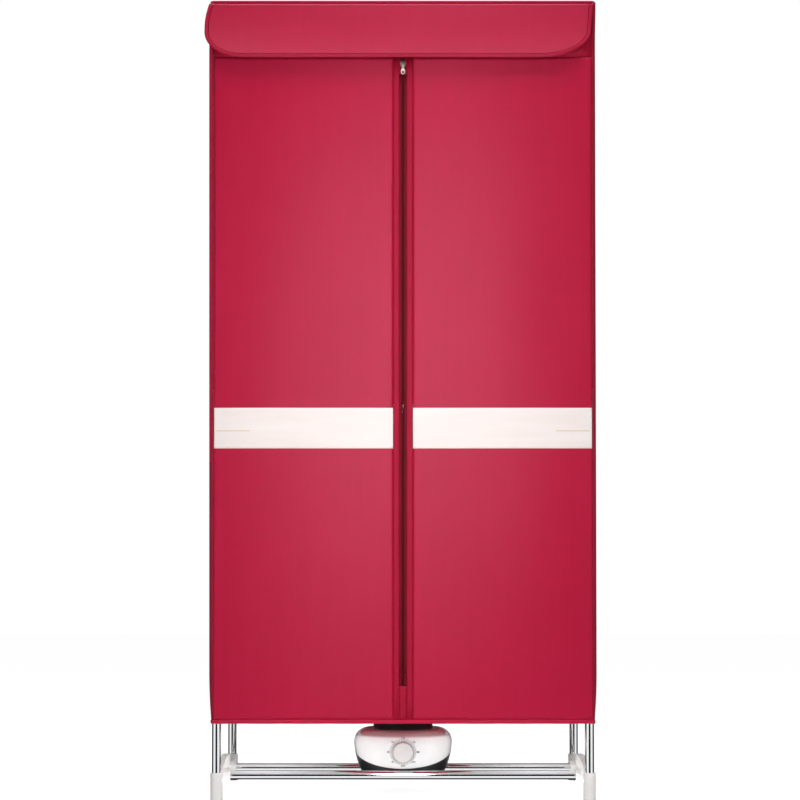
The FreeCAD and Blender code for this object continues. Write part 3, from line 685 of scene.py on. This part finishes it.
for side, sign in sides:
    def door_point(u, v):
        x = sign * between(door_in, door_out, u)
        z = between(door_low.z, door_top, v)
        return (x, front_middle - belly(x, z), z)

    door = piece("door_cloth_" + side, *panel(70, 220, door_point), side + "_door", "crimson_cloth",
                 ["door_" + side], cloth_thick)
    "cover_" + side
print("door belly in the middle:", round(belly(0.18, 0.73) / mm, 2), "mm")

# %% [markdown]
# Beside the zip the cloth is folded under into a placket, a double strip that hides the zip's tape. Its
# section is drawn once, with a round fold at the zip and a sewn-down outer edge, and swept up the door. A
# row of stitches holds the outer edge.

# %% Plackets
placket_seam = 16.6 * mm
fold = [(7.1, 0.2), (7.0, -0.4), (7.25, -0.95), (8.2, -1.25), (11.0, -1.35), (14.5, -1.2), (15.9, -0.9),
        (16.6, -0.7), (17.0, -0.4), (17.1, -0.1), (16.8, 0.3), (12.0, 0.35)]


def fold_section(sign):
    """The placket's section in metres, as steps along x and outwards from the front face."""
    section = [(sign * x * mm, y * mm) for x, y in fold]
    return section if sign > 0 else list(reversed(section))


def upright_stations(y, low, high, count):
    """Stations up the front at a depth y, with x and y as the two directions of a section."""
    heights = [between(low, high, i / count) for i in range(count + 1)]
    return [(Vector((0, y, z)), Vector((1, 0, 0)), Vector((0, 1, 0))) for z in heights]


for side, sign in sides:
    stations = upright_stations(front_face, door_low.z, door_top, 40)
    strip = piece("placket_fold_" + side, *swept(stations, fold_section(sign), False), side + "_door",
                  "crimson_fold", ["placket_" + side])
    line = [Vector((sign * placket_seam, front_face - 0.75 * mm, z)) for z in (door_low.z, door_top)]
    thread = seam("placket_stitches_" + side, line, [Vector((0, -1, 0))] * 2, side + "_door")
    "door_cloth_" + side
print("placket height:", round(door_top - door_low.z, 3), "m")

# %% [markdown]
# ## White bands
# A ribbon crosses each door. It lies on the door's cloth, so its points use the same belly, a little
# further out, and the ribbon follows every wave of the panel under it.

# %% White bands
band_low, band_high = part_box("white_band_right")
band_in = 17.6 * mm
band_out = band_high.x + 0.7 * mm
band_lift = 0.35 * mm
for side, sign in sides:
    def band_point(u, v):
        x = sign * between(band_in, band_out, u)
        z = between(band_low.z, band_high.z, v)
        return (x, front_face - belly(x, z) - band_lift, z)

    band = piece("band_" + side, *panel(140, 24, band_point), side + "_door", "white_cloth",
                 ["white_band_" + side], 0.5 * mm)
    "door_cloth_" + side
print("band height:", round((band_high.z - band_low.z) / mm, 1), "mm")

# %% [markdown]
# ## The zip
# Behind the plackets run two tapes, and each carries a row of teeth that stand half a pitch apart, so
# that they mesh. Tapes and teeth are their own dark red deepened with painted shade of the groove between
# the plackets. The teeth are small blocks with a tapered tip, eight points each, made in one mesh per side.
# Their tips pass the middle and mesh, while the ends of the zip, where the slider stands, stay open.

# %% Zip tapes and teeth
tooth_pitch = 2.6 * mm
tape_in = 0.9
tape_wide = 11.6
tape_y = -226.9
tape_thick = 0.6 * mm


def together(*parts):
    """Several sets of points and faces as one."""
    points = []
    faces = []
    for more_points, more_faces in parts:
        first = len(points)
        points += [tuple(point) for point in more_points]
        faces += [tuple(first + k for k in face) for face in more_faces]
    return points, faces


def teeth(name, sign, low, high, body, tip=0.55):
    """One row of zip teeth up the front, with their tips at a distance from the middle."""
    row = []
    for number in range(int((high - low) / tooth_pitch - 0.5)):
        z = low + (number + 0.5 + 0.25 * sign) * tooth_pitch
        loops = []
        for x, half, near, far in ((tip, 0.45, -227.95, -226.45), (3.0, 0.7, -228.15, -226.15)):
            corners = ((near, -half), (near, half), (far, half), (far, -half))
            loops.append([(sign * x * mm, y * mm, z + rise * mm) for y, rise in corners])
        row.append(joined(loops[::sign], False))
    return piece(name, *together(*row), body, "zip_nylon")


tape_low, tape_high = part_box("zip_tape_right")
for side, sign in sides:
    def tape_point(u, v):
        x = sign * (tape_in + tape_wide * u) * mm
        return (x, (tape_y - 0.5 * hump(u)) * mm, between(tape_low.z, tape_high.z, v))

    tape = piece("tape_" + side, *panel(8, 60, tape_point), side + "_door", "zip_tape", ["zip_tape_" + side],
                 tape_thick)
    row = teeth("teeth_" + side, sign, tape_low.z, tape_high.z, side + "_door", -0.45)
    "placket_fold_" + side
print("teeth per side:", len(row.data.polygons) // 6)

# %% [markdown]
# ## Side and back panels
# A side panel starts at its seam on the front, turns round the corner upright, runs back and turns the rear
# corner. That is one path seen from above, made of straight runs and quarter circles, and the panel is that
# path repeated up the height. Near the foot the cloth is drawn in towards the hem, and the middle of each
# side blows out a little, which the camera in front can't see but a view from the side can.

# %% Side panels
side_low, side_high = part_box("cover_right")
back_low, back_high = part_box("cover_back")
corner = 4.5 * mm
seam_x = side_low.x
out_x = side_high.x + 0.7 * mm
cover_top = side_high.z + 1.5 * mm
front_y = front_middle
back_y = (back_low.y + back_high.y) / 2


def quarter(y, start):
    """A round corner seen from above, about a middle at y, as (x, y, direction outwards)."""
    return [(out_x - corner + corner * way[0], y + corner * way[1], way) for way in quarter_circle(start, 6)]


side_path = [(between(seam_x, out_x - corner, i / 2), front_y, (0, -1)) for i in range(2)]
side_path += quarter(front_y + corner, -90)
side_path += [(out_x, between(front_y + corner, back_y - corner, i / 60), (1, 0)) for i in range(1, 60)]
side_path += quarter(back_y - corner, 0)
side_path += [(between(out_x - corner, seam_x, i / 2), back_y, (0, 1)) for i in range(1, 3)]


def hanging_folds(turn, v):
    """Soft upright folds, where the cloth is gathered at the foot and hangs from the roof's seam."""
    low = (1 - v) ** 2 * math.sin(2 * turn + math.sin(5 * v))
    high = v ** 3 * math.sin(1.7 * turn + 2 - math.sin(4 * v))
    return 2.7 * low + 1.9 * high


def side_point(number, v, sign):
    """A point of a side panel: a place on the path and a share of the height."""
    x, y, way = side_path[number]
    z = between(side_low.z, cover_top, v)
    u = share_of(front_y, back_y, y)
    blow = hump(u) ** 2 * hump(v) ** 0.5
    waves = math.sin(9 * u + 4 * v) + 0.6 * math.sin(5 * u - 12 * v + sign)
    waves += hanging_folds(15 * u + sign, v)
    drawn = max(0.0, 1 - (z - side_low.z) / 0.085) ** 2 * 3.4 * mm
    fuller = 3.4 * v if sign < 0 else 0.0
    top = share_of(0.94, 1.0, v)
    puff = (fuller - 1.2) * mm * (1 - top * top * (3 - 2 * top))
    x += (puff - drawn) * (x - seam_x) / (out_x - seam_x)
    x += way[0] * blow * (4.0 + 0.9 * waves) * mm
    return (sign * x, y, z)


steps = len(side_path) - 1
for side, sign in sides:
    grid = panel(steps, 200, lambda u, v: side_point(round(u * steps), v, sign))
    flank = piece("side_cloth_" + side, *grid, "rack", "crimson_side", ["cover_" + side], cloth_thick)
print("path points round a side:", len(side_path))


# %% Back panel
def back_point(u, v):
    x = between(-seam_x, seam_x, u)
    z = between(side_low.z, cover_top, v)
    hold = hump(u) * hump(v) ** 0.5
    waves = math.sin(11 * u + 3 * v) + 0.7 * math.sin(6 * u - 10 * v + 1) + hanging_folds(22 * u, v)
    return (x, back_y + hold * (3.6 + 0.9 * waves) * mm, z)


rear = piece("back_cloth", *panel(90, 180, back_point), "rack", "crimson_cloth", ["cover_back"], cloth_thick)
for side, sign in sides:
    x = sign * (seam_x + 1.6 * mm)
    line = [Vector((x, back_y + 0.55 * mm, z)) for z in (side_low.z, side_high.z)]
    seam("back_stitches_" + side, line, [Vector((0, 1, 0))] * 2, "rack")
print("back panel:", round(2 * seam_x, 3), "m wide")

# %% [markdown]
# ## Hem and piping
# Round the foot the cloth is turned up into a hem and sewn with one row of stitches. Round the roof a thin
# cord is sewn into the seam, called piping, and it keeps the top edge of the box crisp. Both are closed
# rings, so a section is swept round a rectangle with small corners. The hem waves a little, since the
# cloth above it is slightly gathered.

# %% Hem
hem_low, hem_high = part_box("cover_hem")
hem_half = 1.05 * mm
hem_ring = []
around = ring(hem_low.x + hem_half, hem_high.x - hem_half, hem_low.y + hem_half, hem_high.y - hem_half,
              6 * mm, (hem_low.z + hem_high.z) / 2)
for middle, up, out in around:
    wave = 0.25 * math.sin(83 * (middle.x + middle.y)) + 0.15 * math.sin(211 * (middle.x - middle.y))
    hem_ring.append((middle + out * wave * mm + up * 0.5 * wave * mm, up, out))
hem_section = oval(hem_high.z - hem_low.z, 2 * hem_half)
hem = piece("hem_fold", *swept(hem_ring, hem_section, True), "rack", "crimson_trim", ["cover_hem"])
line = [middle + out * 0.95 * mm + up * 1.6 * mm for middle, up, out in hem_ring]
hem_thread = seam("hem_stitches", line, [out for middle, up, out in hem_ring], "rack")
print("hem stitches:", len(hem_thread.data.polygons) // 8)

# %% Piping
pipe_low, pipe_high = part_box("roof_piping")
pipe_r = (pipe_high.z - pipe_low.z) / 2
pipe_ring = ring(pipe_low.x + pipe_r, pipe_high.x - pipe_r - 1.4 * mm, pipe_low.y + pipe_r,
                 pipe_high.y - pipe_r, 7 * mm, pipe_low.z + pipe_r)
cord = oval(2 * pipe_r, 2 * pipe_r, 14, 1.0)
piping = piece("piping_cord", *swept(pipe_ring, cord, True), "rack", "crimson_trim", ["roof_piping"])
print("piping:", round(2 * pipe_r / mm, 1), "mm thick")

# %% [markdown]
# ## Roof and floor of the cover
# The roof is sewn to the piping all round and sags a little between the tubes. The floor has a round hole,
# gathered on the outlet of the warm-air unit, so its grid is round at the hole and square at the hem: every
# column runs from a point of the circle to the point of the edge in the same direction, and cuts the corner
# where an upright goes through.

# %% Roof
roof_low, roof_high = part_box("cover_roof")


def roof_point(u, v):
    x = between(roof_low.x, roof_high.x, u)
    y = between(roof_low.y, roof_high.y, v)
    hold = hump(u) ** 0.7 * hump(v) ** 0.7
    ripple = 0.5 * math.sin(10 * u + 4 * v) + 0.3 * math.sin(3 * u + 14 * v)
    return (x, y, roof_high.z - 0.6 * mm - hold * (2.0 + ripple) * mm)


roof = piece("roof_cloth", *panel(80, 60, roof_point), "rack", "crimson_fold", ["cover_roof"], cloth_thick)

# %% Floor
floor_low, floor_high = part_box("cover_floor")
hole = 56 * mm
notch = 34 * mm
hole_y = (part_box("outlet_collar")[0].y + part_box("outlet_collar")[1].y) / 2


def floor_point(u, v):
    turn = math.tau * u
    way = (math.cos(turn), math.sin(turn))
    wide = floor_high.x
    deep = floor_high.y - hole_y if way[1] > 0 else hole_y - floor_low.y
    square = min(wide / max(1e-9, abs(way[0])), deep / max(1e-9, abs(way[1])))
    cut = (wide + deep - notch) / (abs(way[0]) + abs(way[1]))
    reach = min(square, cut)
    radius = between(hole, reach, v)
    gather = 1.2 * math.sin(40 * turn) * (1 - v) ** 6
    sag = 2.5 * hump(v) * (1 + 0.3 * math.sin(3 * turn))
    return (radius * way[0], hole_y + radius * way[1], floor_low.z + 0.6 * mm + (gather - sag) * mm)


under = piece("floor_cloth", *panel(320, 40, floor_point), "rack", "lined_floor", ["cover_floor"],
              cloth_thick)
weld = under.modifiers.new("closed_round", "WELD")
weld.merge_threshold = 0.02 * mm
under.modifiers.move(1, 0)

# %% [markdown]
# ## Fixed ends of the front
# Above the doors a strip of cloth closes the front behind the valance, and a short tongue of it hangs down
# where the slider parks. Below the zip a sewn strip runs down to the hem. The plackets of the doors pass
# beside both, so the lines along the zip run on to the top and to the foot without a break. All of them
# are flat strips with soft edges, swept up the front.

# %% Header and tongue
def slab(x0, x1, y, z0, z1, thick):
    """A flat closed strip of cloth with softly rounded long edges, swept up the front."""
    shares = ((0, 0.4), (0, -0.4), (0.03, -1), (0.5, -1.1), (0.97, -1), (1, -0.4), (1, 0.4), (0.97, 1),
              (0.03, 1))
    section = [(between(x0, x1, a), b * thick / 2) for a, b in shares]
    return swept(upright_stations(y, z0, z1, 8), section, False)


gap_half = 6.8 * mm
head_low, head_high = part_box("front_header")
head_foot = door_top + 0.3 * mm
head_top = head_high.z + 1.7 * mm
head_parts = [slab(head_low.x, head_high.x, front_middle, head_foot, head_top, cloth_thick)]
for near, far in ((-gap_half, -4.6 * mm), (4.6 * mm, gap_half)):
    head_parts.append(slab(near, far, front_middle, head_low.z, head_foot, cloth_thick))
header = piece("header_cloth", *together(*head_parts), "rack", "crimson_fold", ["front_header"])
print("header:", round((head_high.z - head_foot) / mm, 1), "mm high")

# %% Foot strip and the ends of the zip
foot_low, foot_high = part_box("front_foot")
zip_foot = 204 * mm
foot_strip = slab(-gap_half, gap_half, front_middle, foot_low.z, zip_foot, cloth_thick)
foot = piece("foot_cloth", *foot_strip, "rack", "crimson_fold", ["front_foot"])
for end, low, high in (("top", head_low.z, head_foot), ("foot", zip_foot, foot_high.z)):
    for side, sign in sides:
        near, far = sorted((sign * tape_in * mm, sign * gap_half))
        tape_end = slab(near, far, -226.6 * mm, low, high, tape_thick)
        bit = piece("tape_%s_%s" % (end, side), *tape_end, "rack", "zip_tape")
        row = teeth("teeth_%s_%s" % (end, side), sign, low, high, "rack")
print("zip runs from", round(zip_foot, 3), "to", round(head_foot, 3))

# %% [markdown]
# ## Slider and puller
# The slider is a small zinc casting: a shield-shaped plate in front of the zip, a plate behind it, a post
# between them that parts the teeth, and an arch that holds the puller. A plate is an outline pushed through
# a thickness with a small bevel, so that its rim catches the light. The puller is a drop with an oval hole,
# which is a ring in both directions: round the drop, and through the hole.

# %% Slider
def plate(outline, near, far, bevel):
    """A flat plate in the plane of the front, from an outline of (x, z), with bevelled rims."""
    middle_x = sum(x for x, z in outline) / len(outline)
    middle_z = sum(z for x, z in outline) / len(outline)

    def loop(y, inset):
        points = []
        for x, z in outline:
            away = math.hypot(x - middle_x, z - middle_z)
            share = 1 - inset / away
            points.append((between(middle_x, x, share), y, between(middle_z, z, share)))
        return points

    loops = [loop(near, bevel), loop(near + bevel, 0), loop(far - bevel, 0), loop(far, bevel)]
    return joined(loops, False)


def shield(wide, low, high):
    """The outline of a zip slider's plate: broad shoulders and a narrow foot."""
    outline = []
    for (x, z), plain in zip(circle(28, 0.6), circle(28)):
        half = wide / 2 * (0.84 + 0.16 * plain[1])
        outline.append((x * half, (low + high) / 2 + z * (high - low) / 2))
    return outline


slider_low, slider_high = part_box("zip_slider")
arch_line = [(-229.6, 1313.4), (-231.2, 1312.8), (-232.5, 1310.8), (-233.2, 1308.4), (-233.3, 1306.2),
             (-232.7, 1304.2), (-231.3, 1303.4), (-229.6, 1303.8)]
arch_points = [Vector((0, y * mm, z * mm)) for y, z in arch_line]
across = Vector((1, 0, 0))
arch = [(point, across, along.cross(across)) for point, along in zip(arch_points, directions(arch_points))]
casting = [plate(shield(12.0 * mm, slider_low.z, slider_high.z), -230.15 * mm, -228.8 * mm, 0.35 * mm),
           plate(shield(9.6 * mm, slider_low.z, slider_high.z), -225.4 * mm, slider_high.y, 0.25 * mm)]
post = [(x * mm, z * mm) for x, z in ((-0.4, 1310), (0.4, 1310), (0.4, 1315), (-0.4, 1315))]
casting.append(plate(post, -229.6 * mm, -224.9 * mm, 0.05 * mm))
piece("slider_casting", *together(*casting), "slider", "slider_zinc", ["zip_slider"])
piece("slider_arch", *swept(arch, oval(2.2 * mm, 0.8 * mm, 12), False), "slider", "zinc")
print("slider:", round((slider_high.z - slider_low.z) / mm, 1), "mm high")

# %% Puller
puller_front = -232.8
puller_back = -231.6
puller_rim = 0.3
drop_z = 1296.6
hole_z = 1294.2
eye_z = 1304.3
drop = []
for i in range(36):
    turn = math.tau * i / 36
    edge = (4.4 * math.sin(turn) * abs(math.sin(turn / 2)) ** 0.3, drop_z + 6.4 * math.cos(turn))
    inner = (1.5 * math.sin(turn), hole_z + 2.2 * math.cos(turn))
    brim = (between(edge[0], inner[0], 0.18), between(edge[1], inner[1], 0.1))
    section = ((brim, puller_front), (edge, puller_front + puller_rim), (edge, puller_back - puller_rim),
               (brim, puller_back), (inner, puller_back), (inner, puller_front))
    drop.append([(x * mm, y * mm, z * mm) for (x, z), y in section])
eye = []
for x, z in circle(24):
    middle = Vector((2.1 * x, (puller_front + puller_back) / 2, eye_z + 1.9 * z)) * mm
    eye.append((middle, Vector((x, 0, z)), Vector((0, 1, 0))))
puller_parts = [joined(drop, True), swept(eye, oval(1.1 * mm, 1.1 * mm, 10, 1.0), True)]
piece("puller_drop", *together(*puller_parts), "puller", "zinc", ["zip_puller"])
print("puller: drop of", len(drop), "sections")

# %% [markdown]
# ## The valance
# A short flap hangs over the top of the front and hides the end of the zip. Its lower corners are round, and
# not alike: it was cut with a tighter curve at one end, and it hangs a little to that side. Its outline is
# two quarter ovals and a straight edge. Columns of points run from the top seam to that outline, and the
# flap leans out further the lower it hangs, which throws the soft shadow on the doors.

# %% Valance outline
top_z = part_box("valance")[1].z
left_top = -345.5 * mm
right_top = 339.0 * mm
left_oval = (-287.5 * mm, 1366 * mm, 66 * mm, 47.6 * mm)
right_oval = (245.2 * mm, 1371 * mm, 90 * mm, 52.6 * mm)


def quarter_oval(x, z, wide, high, start):
    """A quarter of an oval about a middle, from an angle on, as (x, z)."""
    return [(x + wide * a, z + high * b) for a, b in quarter_circle(start, 28)]


def straight(start, end, steps):
    """The points between two ends, without the ends."""
    shares = [i / steps for i in range(1, steps)]
    return [(between(start[0], end[0], share), between(start[1], end[1], share)) for share in shares]


left_round = quarter_oval(*left_oval, 180)
right_round = quarter_oval(*right_oval, 270)
low_edge = left_round + straight(left_round[-1], right_round[0], 60) + right_round


def side_bow(share, v):
    """How far the flap's tighter end bows out between its top and its corner."""
    return -2.6 * mm * hump(v) * max(0.0, 1 - 8 * share)


valance_low = min(z for x, z in low_edge)


def stand(x, z):
    """How far out the valance hangs at a place, as a y of the frame."""
    drop = max(0.0, (top_z - z) / (top_z - valance_low))
    waves = 0.5 * math.sin(19 * x + 0.8) + 0.3 * math.sin(43 * x + 2)
    return -230.25 * mm - (15.0 * drop ** 1.9 + waves * drop) * mm


columns = len(low_edge) - 1
span = low_edge[-1][0] - low_edge[0][0]
print("valance:", round(span / mm), "by", round((top_z - valance_low) / mm), "mm")

# %% Valance cloth
hidden_edge = 2.0 * mm


def valance_point(u, v):
    x, z = low_edge[round(u * columns)]
    share = (x - low_edge[0][0]) / span
    top_x = between(left_top, right_top, share)
    foot_x = x + hidden_edge * (1 - 2 * share)
    here_x = between(foot_x, top_x, v) + side_bow(share, v)
    here_z = between(z + hidden_edge, top_z, v)
    return (here_x, stand(here_x, here_z), here_z)


flap = piece("valance_cloth", *panel(columns, 30, valance_point), "valance", "crimson_valance", ["valance"],
             cloth_thick)
print("valance points:", len(flap.data.vertices))

# %% Valance binding
end_steps = 12
left_end = [(left_top, top_z)] + straight((left_top, top_z), low_edge[0], end_steps)
rim = [(x + side_bow(0, i / end_steps), z) for i, (x, z) in enumerate(left_end)]
rim += low_edge + straight(low_edge[-1], (right_top, top_z), end_steps) + [(right_top, top_z)]
rim_points = [Vector((x, 0, z)) for x, z in rim]


def rim_stations(inset, lift):
    """Stations along the valance's edge, moved inwards in its plane and out from its face."""
    stations = []
    for point, along in zip(rim_points, directions(rim_points)):
        inward = Vector((-along.z, 0, along.x))
        spot = point + inset * inward
        spot.y = stand(spot.x, spot.z) - lift
        stations.append((spot, inward, Vector((0, -1, 0))))
    return stations


tube = swept(rim_stations(3.3 * mm, 0.3 * mm), oval(6.6 * mm, 3.4 * mm, 14), False)
binding = piece("valance_edge", *tube, "valance", "crimson_binding", ["valance_binding"])
# Painted shade: a thin dark strip along the binding's inner side stands for the shade of the crease there.
crease_shade_strip = swept(rim_stations(7.1 * mm, 0.4 * mm), oval(1.5 * mm, 0.9 * mm, 8), False)
crease_shade_piece = piece("valance_crease_shade", *crease_shade_strip, "valance", "crimson_seam")
line, inward, out = zip(*rim_stations(5.2 * mm, 1.75 * mm))
rim_thread = seam("valance_stitches", line, out, "valance")
print("stitches on the binding:", len(rim_thread.data.polygons) // 8)

# %% [markdown]
# ## The dial
# The timer's scale is printed on the curved front of the shell: a ring of fine ticks, eight marks and plain
# numbers, in minutes, and a dark ring round the knob that is painted shade of the gap between knob and
# shell. A print has to follow the surface under it, so every point is first placed flat in front of the
# shell and then moved back until it meets the shell, with a ray. Each mark gets a tenth of a millimetre of
# thickness, like thick ink.

# %% Ink and the shell's surface
from mathutils.bvhtree import BVHTree

moulded("dial_ink", "2A282A", "3E3C3E", 0.5, 0.01)
shell = frame["nodes"]["host_shell"].data
shell_tree = BVHTree.FromPolygons([v.co for v in shell.vertices], [p.vertices for p in shell.polygons])
knob_low, knob_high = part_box("timer_knob")
dial_z = (knob_low.z + knob_high.z) / 2
ink_face = 0.12 * mm
ink_foot = -0.1 * mm


def on_shell(x, z, lift):
    """The point of the shell's front at a place, lifted off it."""
    hit, normal, index, away = shell_tree.ray_cast(Vector((x, -0.3, z)), Vector((0, 1, 0)))
    return (x, hit.y - lift, z)


print("shell in front of the knob at y =", round(on_shell(0, dial_z + 26 * mm, 0)[1], 4))

# %% Ticks
def tick(turn, inner, outer, half):
    """One printed tick at an angle from straight down, clockwise, as a thin block on the shell."""
    x, z = -math.sin(turn), -math.cos(turn)
    corners = [(inner, -half), (inner, half), (outer, half), (outer, -half)]
    spots = [(x * reach - z * step, dial_z + z * reach + x * step) for reach, step in corners]
    return joined([[on_shell(*spot, lift) for spot in spots] for lift in (ink_foot, ink_face)], False)


ticks = [tick(math.tau * i / 48, 21.6 * mm, 24.2 * mm, 0.5 * mm) for i in range(48) if i % 6]
ticks += [tick(math.tau * i / 8, 21.4 * mm, 22.8 * mm, 0.8 * mm) for i in range(8)]
# Painted shade: a dark ring of ink round the knob stands for the shadow in the gap between knob and shell.
knob_shade_in = 19.7 * mm
knob_shade_out = 20.5 * mm
knob_shade_loops = []
for radius, lift in ((knob_shade_in, ink_face), (knob_shade_out, ink_face), (knob_shade_out, ink_foot), (knob_shade_in, ink_foot)):
    knob_shade_loops.append([on_shell(x * radius, dial_z + z * radius, lift) for z, x in circle(96)])
ticks.append(joined(knob_shade_loops, True))
piece("dial_ticks", *together(*ticks), "rack", "dial_ink")
print("ticks:", len(ticks))

# %% Numbers
words = ["OFF", "30", "60", "90", "120", "150", "180", "ON"]
word_size = 4.6 * mm
word_bold = 0.12 * mm
word_ring = (26.8 * mm, 25.4 * mm)
signs = []
for i, word in enumerate(words):
    letters = bpy.data.curves.new("dial_word", "FONT")
    letters.body = word
    letters.size = word_size
    letters.offset = word_bold
    letters.align_x = "CENTER"
    letters.align_y = "CENTER"
    holder = add("dial_word", letters)
    bpy.context.view_layer.update()
    flat = bpy.data.meshes.new_from_object(holder.evaluated_get(bpy.context.evaluated_depsgraph_get()))
    bpy.data.objects.remove(holder)
    turn = math.tau * i / 8
    middle_x = -math.sin(turn) * word_ring[0]
    middle_z = dial_z - math.cos(turn) * word_ring[1]
    points = []
    for lift in (ink_face, ink_foot):
        points += [on_shell(middle_x + v.co.x, middle_z + v.co.y, lift) for v in flat.vertices]
    count = len(flat.vertices)
    faces = [tuple(p.vertices) for p in flat.polygons]
    edges = [edge for face in faces for edge in zip(face, face[1:] + face[:1])]
    rims = set(edges) - {(b, a) for a, b in edges}
    back = [tuple(count + k for k in reversed(face)) for face in faces]
    walls = [(b, a, a + count, b + count) for a, b in sorted(rims)]
    signs.append((points, faces + back + walls))
piece("dial_numbers", *together(*signs), "rack", "dial_ink")
print("numbers:", words)
